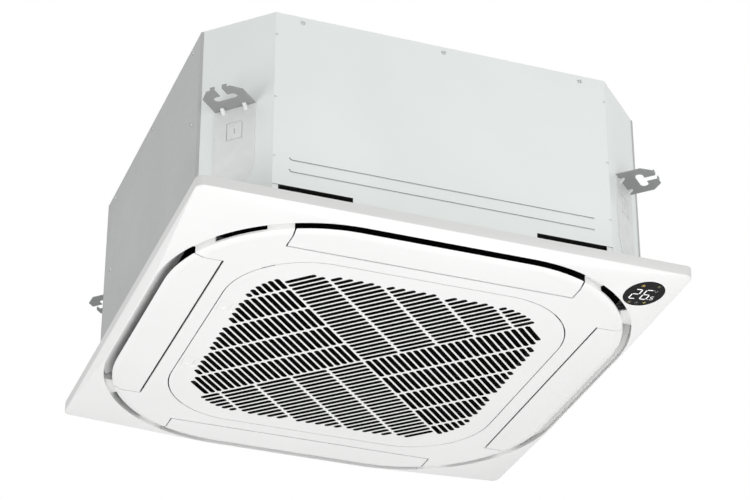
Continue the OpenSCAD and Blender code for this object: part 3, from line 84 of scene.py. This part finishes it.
def make_camera():
    """Camera below the unit, looking up at it as in the photograph."""
    back = Vector((math.sin(CAMERA_AZIMUTH) * math.cos(CAMERA_ELEVATION),
                   -math.cos(CAMERA_AZIMUTH) * math.cos(CAMERA_ELEVATION),
                   math.sin(CAMERA_ELEVATION)))
    data = bpy.data.cameras.new("photo_camera")
    data.lens = LENS_MM
    data.sensor_width = 36
    data.clip_start, data.clip_end = 0.05, 100
    camera = bpy.data.objects.new("photo_camera", data)
    camera.location = CAMERA_TARGET + back * CAMERA_DISTANCE
    camera.rotation_euler = (-back).to_track_quat("-Z", "Y").to_euler()
    bpy.context.scene.collection.objects.link(camera)
    bpy.context.scene.camera = camera


# Material helpers

class Shader:
    """A material with a Principled shader, and short calls that add nodes to it."""

    def __init__(self, name, color, metallic=0.0, roughness=0.5):
        self.material = bpy.data.materials.new(name)
        self.material.use_nodes = True
        self.tree = self.material.node_tree
        self.bsdf = self.tree.nodes["Principled BSDF"]
        self.bsdf.inputs["Base Color"].default_value = (*color, 1)
        self.bsdf.inputs["Metallic"].default_value = metallic
        self.bsdf.inputs["Roughness"].default_value = roughness
        self.place = self.tree.nodes.new("ShaderNodeTexCoord").outputs["Object"]

    def add(self, kind, settings=None, **inputs):
        """New node; inputs are values or sockets, by socket name with _ for a space."""
        node = self.tree.nodes.new(kind)
        for key, value in (settings or {}).items():
            setattr(node, key, value)
        for key, value in inputs.items():
            socket = node.inputs[key.replace("_", " ")]
            if isinstance(value, bpy.types.NodeSocket):
                self.tree.links.new(value, socket)
            else:
                socket.default_value = value
        return node

    def link(self, value, name):
        self.tree.links.new(value, self.bsdf.inputs[name])

    def math(self, operation, *values):
        """Result of one math node; values are numbers or sockets."""
        node = self.add("ShaderNodeMath", {"operation": operation})
        for value, socket in zip(values, node.inputs):
            if isinstance(value, bpy.types.NodeSocket):
                self.tree.links.new(value, socket)
            else:
                socket.default_value = value
        return node.outputs[0]

    def reach(self):
        """The distances |x| and |y| from the panel's middle, and the longer of the two."""
        axes = self.add("ShaderNodeSeparateXYZ", Vector=self.place)
        x, y = (self.math("ABSOLUTE", axes.outputs[axis]) for axis in "XY")
        return x, y, self.math("MAXIMUM", x, y)

    def slope(self):
        """0 on an upright face and 1 on a level one."""
        normal = self.add("ShaderNodeNewGeometry").outputs["True Normal"]
        axes = self.add("ShaderNodeSeparateXYZ", Vector=normal)
        return self.math("ABSOLUTE", axes.outputs["Z"])

    def stretched(self, scale):
        """Object coordinates scaled by a different amount along each axis."""
        return self.add("ShaderNodeMapping", Vector=self.place, Scale=scale).outputs["Vector"]

    def height(self, low, high):
        """0 below the level low and 1 above the level high, both counted from the panel's edge."""
        axes = self.add("ShaderNodeSeparateXYZ", Vector=self.place)
        return self.remap(axes.outputs["Z"], PANEL_EDGE_Z + low, PANEL_EDGE_Z + high, 0.0, 1.0)

    def blend(self, factor, below, above):
        """Base colour mixed from two colours by the factor, each a socket or a plain colour."""
        mix = self.add("ShaderNodeMix", {"data_type": "RGBA"})
        self.tree.links.new(factor, mix.inputs[0])
        for value, socket in ((below, mix.inputs[6]), (above, mix.inputs[7])):
            if isinstance(value, bpy.types.NodeSocket):
                self.tree.links.new(value, socket)
            else:
                socket.default_value = (*value, 1)
        self.link(mix.outputs[2], "Base Color")
        return mix.outputs[2]

    def zoned(self, color, zones):
        """Base colour with another tone inside each zone; a zone gives a factor and a tone."""
        for factor, tone in (zone(self) for zone in zones):
            color = self.blend(factor, color, tone)

    def noise(self, scale, detail=3.0, place=None):
        node = self.add("ShaderNodeTexNoise", Vector=place or self.place, Scale=scale, Detail=detail)
        return node.outputs["Fac"]

    def cells(self, scale, output="Color", feature="F1"):
        node = self.add("ShaderNodeTexVoronoi", {"feature": feature}, Vector=self.place, Scale=scale)
        return node.outputs[output]

    def remap(self, value, low, high, to_low, to_high):
        node = self.add("ShaderNodeMapRange", Value=value)
        for name, v in zip(("From Min", "From Max", "To Min", "To Max"), (low, high, to_low, to_high)):
            node.inputs[name].default_value = v
        return node.outputs["Result"]

    def shades(self, value, low, high, dark, light):
        """Base colour that runs from dark to light as value goes from low to high."""
        ramp = self.add("ShaderNodeValToRGB", Fac=value)
        ramp.color_ramp.elements[0].position, ramp.color_ramp.elements[1].position = low, high
        ramp.color_ramp.elements[0].color = (*dark, 1)
        ramp.color_ramp.elements[1].color = (*light, 1)
        self.link(ramp.outputs["Color"], "Base Color")
        return ramp.outputs["Color"]

    def gloss(self, value, low, high, smooth, rough):
        self.link(self.remap(value, low, high, smooth, rough), "Roughness")

    def relief(self, height, strength, distance, below=None):
        node = self.add("ShaderNodeBump", Height=height, Strength=strength, Distance=distance)
        if below is not None:
            self.tree.links.new(below, node.inputs["Normal"])
        self.link(node.outputs["Normal"], "Normal")
        return node.outputs["Normal"]


def bead_zone(s):
    """Flanks of the pressed beads, painted grey as shade."""
    return s.math("GREATER_THAN", s.slope(), UPRIGHT), BEAD_SHADE_TONE


def notch_zone(s):
    """Undersides of the notches at the body's lower edge, painted black as shade."""
    low = s.math("SUBTRACT", 1.0, s.height(*NOTCH_LEVELS))
    return s.math("MULTIPLY", low, s.math("GREATER_THAN", s.slope(), LEVEL)), NOTCH_SHADE_TONE


def painted_sheet(name, *zones):
    """Pale pre-coated steel: faint rolling direction, slight mottle and fine orange peel."""
    s = Shader(name, (0.80, 0.83, 0.82), metallic=0.05, roughness=0.45)
    s.zoned(s.shades(s.noise(5.0, 4), 0.3, 0.7, (0.80, 0.84, 0.825), (0.835, 0.87, 0.857)), zones)
    s.gloss(s.noise(60.0, 3, s.stretched((1, 1, 12))), 0.35, 0.65, 0.36, 0.48)
    peel = s.relief(s.noise(900.0, 2), 0.10, 0.05 * MM)
    s.relief(s.noise(7.0, 2), 0.12, 1.2 * MM, peel)
    return s.material


def galvanised():
    """Zinc-coated steel: flakes a few millimetres across, each with its own tone and gloss."""
    s = Shader("galvanised_steel", (0.60, 0.61, 0.61), metallic=0.35, roughness=0.42)
    flakes = s.cells(170.0, "Color")
    tone = s.add("ShaderNodeRGBToBW", Color=flakes).outputs["Val"]
    s.shades(tone, 0.2, 0.8, (0.55, 0.56, 0.56), (0.60, 0.61, 0.61))
    s.gloss(tone, 0.2, 0.8, 0.38, 0.48)
    s.relief(s.noise(500.0, 3, s.stretched((1, 1, 8))), 0.12, 0.05 * MM)
    return s.material


def bare_sheet(*zones):
    """Uncoated sides: soft grey zinc with a fine rolling grain and a cloudy tone."""
    s = Shader("bare_sheet", (0.46, 0.465, 0.465), metallic=0.1, roughness=0.5)
    s.zoned(s.shades(s.noise(4.0, 4), 0.3, 0.7, (0.44, 0.445, 0.445), (0.49, 0.495, 0.495)), zones)
    s.gloss(s.noise(60.0, 3, s.stretched((1, 1, 12))), 0.35, 0.65, 0.42, 0.54)
    s.relief(s.noise(600.0, 2, s.stretched((1, 1, 10))), 0.10, 0.05 * MM)
    return s.material


def bracket_steel():
    """Hanger steel: a leg coated like the body, and a grey plate at the top whose grey is painted shade.
    """
    s = Shader("bracket_steel", (0.72, 0.73, 0.73), metallic=0.1, roughness=0.45)
    mottle = s.shades(s.noise(40.0, 3), 0.3, 0.7, (0.74, 0.75, 0.75), (0.79, 0.80, 0.80))
    s.blend(s.height(*PLATE_LEVELS), mottle, PLATE_SHADE_TONE)
    s.gloss(s.noise(200.0, 3), 0.3, 0.7, 0.40, 0.50)
    s.relief(s.noise(500.0, 3, s.stretched((1, 1, 8))), 0.12, 0.05 * MM)
    return s.material


def rim_zone(s):
    """The panel's outer rim, painted a little greyer than its face as shade."""
    return s.height(*RIM_LEVELS), RIM_SHADE_TONE


def well_zone(s):
    """Shaded upright walls of the four outlets, behind the louvers."""
    x, y, long = s.reach()
    inner = s.math("LESS_THAN", long, OUTLET_INNER[1])
    end = s.math("MULTIPLY", s.math("GREATER_THAN", x, OUTLET_HALF - WALL_SLACK),
                 s.math("GREATER_THAN", y, x))
    inside = s.math("MAXIMUM", inner, end)
    for rule in (s.math("LESS_THAN", s.math("MINIMUM", x, y), OUTLET_HALF + WALL_SLACK),
                 s.math("GREATER_THAN", long, OUTLET_INNER[0]),
                 s.math("LESS_THAN", long, OUTLET_OUTER),
                 s.math("LESS_THAN", s.slope(), UPRIGHT),
                 s.height(*OUTLET_LEVELS)):
        inside = s.math("MULTIPLY", inside, rule)
    return inside, SHADE_TONE


def slot_zone(s):
    """Walls of the grille's slots, behind its face, painted dark as shade."""
    inside = s.math("LESS_THAN", s.reach()[2], SLOT_FIELD)
    return s.math("MULTIPLY", inside, s.height(*SLOT_LEVELS)), SHADE_TONE


def panel_plastic(name, *zones):
    """White moulded plastic with the fine grain of an etched mould, in other tones inside the zones."""
    s = Shader(name, (0.90, 0.90, 0.895), roughness=0.40)
    s.zoned(s.shades(s.noise(6.0, 3), 0.3, 0.7, (0.915, 0.915, 0.91), (0.935, 0.935, 0.93)), zones)
    s.gloss(s.noise(240.0, 3), 0.3, 0.7, 0.36, 0.46)
    s.relief(s.noise(2200.0, 2), 0.14, 0.03 * MM)
    return s.material


def duct_foam():
    """Dark bead foam; the outer duct walls carry painted light, pale at their lip and fading upwards
    into the foam's dark tone.
    """
    s = Shader("duct_foam", (0.01, 0.01, 0.011), roughness=0.9)
    s.bsdf.inputs["Specular IOR Level"].default_value = 0.1
    edge = s.cells(260.0, "Distance", "DISTANCE_TO_EDGE")
    beads = s.shades(edge, 0.0, 0.12, (0.004, 0.004, 0.004), (0.010, 0.010, 0.011))
    inner = s.math("LESS_THAN", s.reach()[2], OUTLET_MIDDLE)
    s.blend(s.math("MAXIMUM", inner, s.height(*LIP_LEVELS)), LIP_LIGHT_TONE, beads)
    s.relief(edge, 0.5, 0.4 * MM)
    return s.material


def bead_foam(name, dark, light, scale):
    """Moulded bead foam: packed rounded beads with fine dark joints."""
    s = Shader(name, light, roughness=0.85)
    s.bsdf.inputs["Specular IOR Level"].default_value = 0.15
    edge = s.cells(scale, "Distance", "DISTANCE_TO_EDGE")
    s.shades(edge, 0.0, 0.12, dark, light)
    s.gloss(s.noise(scale, 2), 0.3, 0.7, 0.78, 0.92)
    s.relief(edge, 0.5, 0.4 * MM)
    return s.material


def moulded(name, dark, light, roughness=0.5, specular=0.5):
    """Plain moulded plastic or rubber with a fine grain."""
    s = Shader(name, light, roughness=roughness)
    s.bsdf.inputs["Specular IOR Level"].default_value = specular
    s.shades(s.noise(25.0, 4), 0.3, 0.7, dark, light)
    s.gloss(s.noise(300.0, 2), 0.3, 0.7, roughness - 0.06, roughness + 0.08)
    s.relief(s.noise(1600.0, 2), 0.15, 0.04 * MM)
    return s.material


def metal(name, dark, light, roughness, grain=(1, 1, 30)):
    """Bare metal with drawing or turning marks along one direction."""
    s = Shader(name, light, metallic=1.0, roughness=roughness)
    s.shades(s.noise(30.0, 4), 0.3, 0.7, dark, light)
    lines = s.noise(260.0, 3, s.stretched(grain))
    s.gloss(lines, 0.3, 0.7, roughness - 0.08, roughness + 0.1)
    s.relief(lines, 0.15, 0.04 * MM)
    return s.material


def painted_metal(name, dark, light):
    s = Shader(name, light, metallic=0.2, roughness=0.45)
    s.shades(s.noise(40.0, 4), 0.3, 0.7, dark, light)
    s.relief(s.noise(700.0, 3), 0.2, 0.05 * MM)
    return s.material


def circuit_green():
    s = Shader("circuit_green", (0.05, 0.20, 0.10), roughness=0.35)
    tracks = s.cells(160.0, "Distance", "DISTANCE_TO_EDGE")
    s.shades(tracks, 0.02, 0.10, (0.10, 0.30, 0.15), (0.03, 0.15, 0.07))
    s.relief(tracks, 0.2, 0.05 * MM)
    return s.material


def display_black():
    """Glossy near-black window with a faint smoky tone."""
    s = Shader("display_black", (0.010, 0.010, 0.011), roughness=0.12)
    s.bsdf.inputs["Specular IOR Level"].default_value = 0.15
    s.shades(s.noise(35.0, 2), 0.3, 0.7, (0.007, 0.007, 0.008), (0.012, 0.012, 0.013))
    s.gloss(s.noise(90.0, 2), 0.3, 0.7, 0.09, 0.16)
    return s.material


def net_black():
    """Filter net: a fine square weave that reads as relief and as slightly paler threads."""
    s = Shader("filter_net", (0.004, 0.004, 0.004), roughness=0.9)
    s.bsdf.inputs["Specular IOR Level"].default_value = 0.05
    threads = [s.add("ShaderNodeTexWave", {"bands_direction": axis, "wave_profile": "SIN"},
                     Vector=s.place, Scale=260.0, Distortion=0.0).outputs["Fac"] for axis in "XY"]
    weave = s.math("MAXIMUM", *threads)
    s.shades(weave, 0.5, 1.0, (0.001, 0.001, 0.001), (0.004, 0.004, 0.004))
    s.relief(weave, 0.5, 0.3 * MM)
    return s.material


def glowing(name, color, strength):
    """Lit segment: slight unevenness of the lamp behind it."""
    s = Shader(name, color, roughness=0.4)
    s.link(s.remap(s.noise(400.0, 1), 0.3, 0.7, 0.85 * strength, strength), "Emission Strength")
    s.bsdf.inputs["Emission Color"].default_value = (*color, 1)
    return s.material


# Material of each slot of the record, and of the nodes that look different from their slot
SLOT_MATERIALS = {
    "sheet": painted_sheet("painted_sheet"),
    "galvanised": galvanised(),
    "panel": panel_plastic("panel_plastic"),
    "dark_foam": bead_foam("dark_foam", (0.008, 0.008, 0.009), (0.022, 0.022, 0.024), 260.0),
    "grey_foam": bead_foam("grey_foam", (0.045, 0.047, 0.05), (0.085, 0.088, 0.092), 420.0),
    "black_plastic": moulded("black_plastic", (0.004, 0.004, 0.004), (0.009, 0.009, 0.010), 0.8, 0.08),
    "fins": metal("fin_aluminium", (0.70, 0.71, 0.72), (0.80, 0.81, 0.82), 0.35),
    "copper": metal("copper", (0.62, 0.30, 0.18), (0.76, 0.42, 0.27), 0.30),
    "brass": metal("brass", (0.66, 0.48, 0.20), (0.78, 0.60, 0.30), 0.32),
    "motor": painted_metal("motor_paint", (0.09, 0.095, 0.10), (0.14, 0.145, 0.15)),
    "fan": moulded("fan_plastic", (0.62, 0.62, 0.60), (0.70, 0.70, 0.68), 0.45),
    "rubber": moulded("rubber", (0.012, 0.012, 0.013), (0.026, 0.026, 0.027), 0.7),
    "steel": metal("screw_steel", (0.52, 0.53, 0.54), (0.68, 0.69, 0.70), 0.32),
    "white_plastic": moulded("white_plastic", (0.74, 0.74, 0.72), (0.82, 0.82, 0.80), 0.45),
    "orange_plastic": moulded("orange_plastic", (0.55, 0.16, 0.05), (0.68, 0.22, 0.08), 0.5),
    "board": circuit_green(),
    "display": display_black(),
}
BRACKET_STEEL = bracket_steel()
BARE_SHEET = bare_sheet(bead_zone, notch_zone)
BEADED_SHEET = painted_sheet("beaded_sheet", bead_zone, notch_zone)
NODE_MATERIALS = {"filter_mesh": net_black(), "air_guide": duct_foam(),
                  "panel_frame": panel_plastic("frame_plastic", rim_zone, well_zone),
                  "intake_grille": panel_plastic("grille_plastic", slot_zone),
                  "casing_screws": metal("casing_screw_steel", (0.42, 0.43, 0.44), (0.58, 0.59, 0.60),
                                         0.28),
                  "panel_seals": SLOT_MATERIALS["black_plastic"],
                  "wall_lining": SLOT_MATERIALS["dark_foam"],
                  "front_panel": BEADED_SHEET, "back_panel": BEADED_SHEET,
                  "left_panel": BARE_SHEET, "right_panel": BARE_SHEET}
NODE_MATERIALS.update({name: BRACKET_STEEL for name in NODES if name.endswith("_hanger")})


# CAD nodes: rounded edges and smooth curves, with their places and sizes unchanged

SMOOTH_ANGLE = math.radians(32)
# Width of the rounded edges of each kind of piece
EDGE_WIDTH = {"sheet": 0.25 * MM, "galvanised": 0.35 * MM, "panel": 0.7 * MM, "display": 0.3 * MM,
              "steel": 0.3 * MM}
NODE_EDGE_WIDTH = {"intake_grille": 0.45 * MM, "front_latch": 0.35 * MM, "back_latch": 0.35 * MM}


def smooth_by_angle():
    """Geometry nodes that smooth every edge flatter than SMOOTH_ANGLE."""
    group = bpy.data.node_groups.new("smooth_by_angle", "GeometryNodeTree")
    group.interface.new_socket("Geometry", in_out="INPUT", socket_type="NodeSocketGeometry")
    group.interface.new_socket("Geometry", in_out="OUTPUT", socket_type="NodeSocketGeometry")
    start, end = group.nodes.new("NodeGroupInput"), group.nodes.new("NodeGroupOutput")
    faces, edges = (group.nodes.new("GeometryNodeSetShadeSmooth") for _ in range(2))
    faces.domain, edges.domain = "FACE", "EDGE"
    angle = group.nodes.new("GeometryNodeInputMeshEdgeAngle")
    flat = group.nodes.new("FunctionNodeCompare")
    flat.data_type, flat.operation = "FLOAT", "LESS_EQUAL"
    flat.inputs["B"].default_value = SMOOTH_ANGLE
    for a, b in ((start.outputs[0], faces.inputs["Geometry"]),
                 (faces.outputs[0], edges.inputs["Geometry"]),
                 (angle.outputs["Unsigned Angle"], flat.inputs["A"]),
                 (flat.outputs["Result"], edges.inputs["Shade Smooth"]),
                 (edges.outputs[0], end.inputs[0])):
        group.links.new(a, b)
    return group


SMOOTH = smooth_by_angle()


def dress(node):
    """Material and soft edges of one CAD node."""
    piece, slot = NODES[node], SLOT_OF[node]
    piece.data.materials.clear()
    piece.data.materials.append(NODE_MATERIALS.get(node) or SLOT_MATERIALS[slot])
    if "custom_normal" in piece.data.attributes:
        piece.data.attributes.remove(piece.data.attributes["custom_normal"])
    piece.modifiers.new("weld", "WELD").merge_threshold = 0.001 * MM
    width = NODE_EDGE_WIDTH.get(node) or EDGE_WIDTH.get(slot)
    if width:
        flat = piece.modifiers.new("flat", "DECIMATE")
        flat.decimate_type = "DISSOLVE"
        flat.angle_limit = math.radians(0.3)
        bevel = piece.modifiers.new("edges", "BEVEL")
        bevel.width, bevel.segments = width, 2
        bevel.limit_method, bevel.angle_limit = "ANGLE", SMOOTH_ANGLE
        bevel.use_clamp_overlap = True
    piece.modifiers.new("smooth", "NODES").node_group = SMOOTH
    weights = piece.modifiers.new("weights", "WEIGHTED_NORMAL")
    weights.keep_sharp = True


# Display: lit digits and marks on the dark window, read from below with +X to the right

DISPLAY_OUT = 573.12 * MM
DISPLAY_Z = PANEL_EDGE_Z - 13.12 * MM
DISPLAY_SLOPE = math.tan(math.radians(8.08))
SEGMENT_SUNK, SEGMENT_PROUD = 0.05 * MM, 0.12 * MM
# The seven segments of a digit, as points in half widths and half heights
SEGMENTS = {"a": ((-1, 1), (1, 1)), "b": ((1, 1), (1, 0)), "c": ((1, 0), (1, -1)),
            "d": ((-1, -1), (1, -1)), "e": ((-1, 0), (-1, -1)), "f": ((-1, 1), (-1, 0)),
            "g": ((-1, 0), (1, 0))}
DIGIT_SEGMENTS = {"2": "abged", "6": "afgedc", "5": "afgcd"}
# Gap at each end of a segment, as a share of its width, and how far the figures lean
SEGMENT_GAP = 0.35
LEAN = 0.1


def on_display(across, up, lift):
    """Point on the tilted window: across to +X, up to -Y, both from its middle and seen from below."""
    normal = Vector((DISPLAY_SLOPE / math.sqrt(2), -DISPLAY_SLOPE / math.sqrt(2), -1)).normalized()
    middle = Vector((DISPLAY_OUT / math.sqrt(2), -DISPLAY_OUT / math.sqrt(2), DISPLAY_Z))
    return middle + Vector((across, -up, DISPLAY_SLOPE * (across + up) / math.sqrt(2))) + normal * lift


def prisms(name, outlines, material):
    """One piece made of flat prisms on the window, one for each outline of (across, up) points."""
    points, faces = [], []
    for outline in outlines:
        first, count = len(points), len(outline)
        for lift in (-SEGMENT_SUNK, SEGMENT_PROUD):
            points += [on_display(across, up, lift) for across, up in outline]
        faces.append([first + i for i in range(count)])
        faces.append([first + count + i for i in reversed(range(count))])
        for i in range(count):
            j = (i + 1) % count
            faces.append([first + i, first + count + i, first + count + j, first + j])
    mesh = bpy.data.meshes.new(name)
    mesh.from_pydata(points, [], faces)
    mesh.materials.append(material)
    piece = bpy.data.objects.new(name, mesh)
    bpy.context.scene.collection.objects.link(piece)
    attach(piece, "housing")
    return piece


def bar(start, end, width, gap):
    """Outline of a segment with pointed ends, drawn in by a gap at each end."""
    a, b = Vector(start), Vector(end)
    along = (b - a).normalized()
    side = Vector((-along.y, along.x)) * width / 2
    a, b, tip = a + along * gap, b - along * gap, along * width / 2
    return [a, a + tip - side, b - tip - side, b, b - tip + side, a + tip + side]


def digit(figure, middle, half_width, half_height, width):
    """Outlines of one seven-segment figure, leaning a little to the right."""
    def place(p):
        up = p[1] * half_height
        return Vector((middle[0] + p[0] * half_width + LEAN * up, middle[1] + up))

    ends = [map(place, SEGMENTS[name]) for name in DIGIT_SEGMENTS[figure]]
    return [bar(*pair, width, width * SEGMENT_GAP) for pair in ends]


def disc(middle, radius, corners):
    """Outline of a round dot."""
    turns = [2 * math.pi * i / corners for i in range(corners)]
    return [Vector((middle[0] + radius * math.cos(turn), middle[1] + radius * math.sin(turn)))
            for turn in turns]


def spokes(middle, inner, outer, count, width):
    """Outlines of short bars set round a middle point."""
    turns = [2 * math.pi * i / count for i in range(count)]
    rays = [Vector((math.cos(turn), math.sin(turn))) for turn in turns]
    return [bar(Vector(middle) + r * inner, Vector(middle) + r * outer, width, 0.0) for r in rays]


def make_display():
    """Set temperature and the small mode marks round it."""
    digits = (digit("2", (-16 * MM, -2.3 * MM), 6.6 * MM, 15 * MM, 2.1 * MM)
              + digit("6", (6 * MM, -2.3 * MM), 6.6 * MM, 15 * MM, 2.1 * MM)
              + digit("5", (21 * MM, -12 * MM), 3.0 * MM, 5.2 * MM, 1.2 * MM)
              + [disc((15.2 * MM, -17 * MM), 0.9 * MM, 12)])
    prisms("display_digits", digits, glowing("digit_white", (0.80, 0.79, 0.80), 0.75))
    prisms("display_unit", [disc((16.5 * MM, 12 * MM), 1.3 * MM, 12)]
           + [bar(Vector((19 * MM, 7 * MM)), Vector((24 * MM, 12 * MM)), 1.0 * MM, 0.0)],
           glowing("unit_grey", (0.35, 0.35, 0.36), 0.35))
    marks = (("mark_sun", (-12.5 * MM, 25 * MM), (0.50, 0.36, 0.10), 0.75),
             ("mark_fan", (19 * MM, 26 * MM), (0.16, 0.18, 0.06), 0.5),
             ("mark_timer", (-16.6 * MM, -29.5 * MM), (0.20, 0.16, 0.09), 0.6),
             ("mark_swing", (-1.8 * MM, -29.5 * MM), (0.16, 0.16, 0.17), 0.6),
             ("mark_wind", (13.6 * MM, -28 * MM), (0.34, 0.33, 0.08), 0.7))
    for i, (name, middle, color, strength) in enumerate(marks):
        core = disc(middle, (1.5 - 0.2 * (i % 2)) * MM, 16)
        rays = spokes(middle, 2.1 * MM, 3.9 * MM, 8 - i, 1.0 * MM)
        prisms(name, [core] + rays, glowing(name, color, strength))


# Name, place, side length and power of each soft box
LAMPS = (("below", (0.1, -0.5, -2.75), 2.6, 24.0),
         ("front", (0.8, -3.0, -1.2), 1.8, 36.0),
         ("left", (-2.9, -0.8, -1.5), 1.8, 30.0),
         ("top", (0.6, -0.8, 3.2), 2.5, 30.0))
SKY_LEVEL = 0.5
FLOOR_HALF, FLOOR_Z = 30.0, -3.4
# Share of white that the camera sees on the floor
FLOOR_WHITE = 0.55


def make_floor():
    """Pale floor below the hanging unit."""
    mesh = bpy.data.meshes.new("floor")
    corners = ((-1, -1), (1, -1), (1, 1), (-1, 1))
    mesh.from_pydata([(x * FLOOR_HALF, y * FLOOR_HALF, FLOOR_Z) for x, y in corners], [], [(0, 1, 2, 3)])
    floor = bpy.data.objects.new("floor", mesh)
    bpy.context.scene.collection.objects.link(floor)
    s = Shader("floor", (0.86, 0.86, 0.86), roughness=0.9)
    s.gloss(s.noise(3.0, 2), 0.3, 0.7, 0.85, 0.95)
    rays = s.add("ShaderNodeLightPath")
    seen = s.math("MULTIPLY", rays.outputs["Is Camera Ray"], FLOOR_WHITE)
    white = s.add("ShaderNodeEmission", Color=(1, 1, 1, 1), Strength=1.0)
    mix = s.add("ShaderNodeMixShader", Fac=seen)
    s.tree.links.new(s.bsdf.outputs[0], mix.inputs[1])
    s.tree.links.new(white.outputs[0], mix.inputs[2])
    s.tree.links.new(mix.outputs[0], s.tree.nodes["Material Output"].inputs["Surface"])
    mesh.materials.append(s.material)


def make_lamps():
    """Soft boxes round the unit, each turned to its middle."""
    for name, place, side, power in LAMPS:
        data = bpy.data.lights.new(name, "AREA")
        data.shape, data.size, data.energy = "SQUARE", side, power
        lamp = bpy.data.objects.new(name, data)
        lamp.location = place
        lamp.rotation_euler = (-Vector(place)).to_track_quat("-Z", "Y").to_euler()
        bpy.context.scene.collection.objects.link(lamp)


def make_sky():
    """Even sky, plain white where the camera, a reflection or a clear body shows it."""
    world = bpy.data.worlds.new("studio")
    world.use_nodes = True
    bpy.context.scene.world = world
    nodes, links = world.node_tree.nodes, world.node_tree.links
    rays = nodes.new("ShaderNodeLightPath")
    seen = rays.outputs["Is Camera Ray"]
    for name in ("Is Glossy Ray", "Is Transmission Ray"):
        total = nodes.new("ShaderNodeMath")
        total.operation = "MAXIMUM"
        links.new(seen, total.inputs[0])
        links.new(rays.outputs[name], total.inputs[1])
        seen = total.outputs[0]
    level = nodes.new("ShaderNodeMapRange")
    level.inputs["To Min"].default_value = SKY_LEVEL
    level.inputs["To Max"].default_value = 1.0
    links.new(seen, level.inputs["Value"])
    links.new(level.outputs["Result"], nodes["Background"].inputs["Strength"])
    nodes["Background"].inputs["Color"].default_value = (1, 1, 1, 1)


make_camera()
for name in NODES:
    dress(name)
make_display()
make_floor()
make_lamps()
make_sky()

bpy.context.scene.view_settings.view_transform = "Standard"
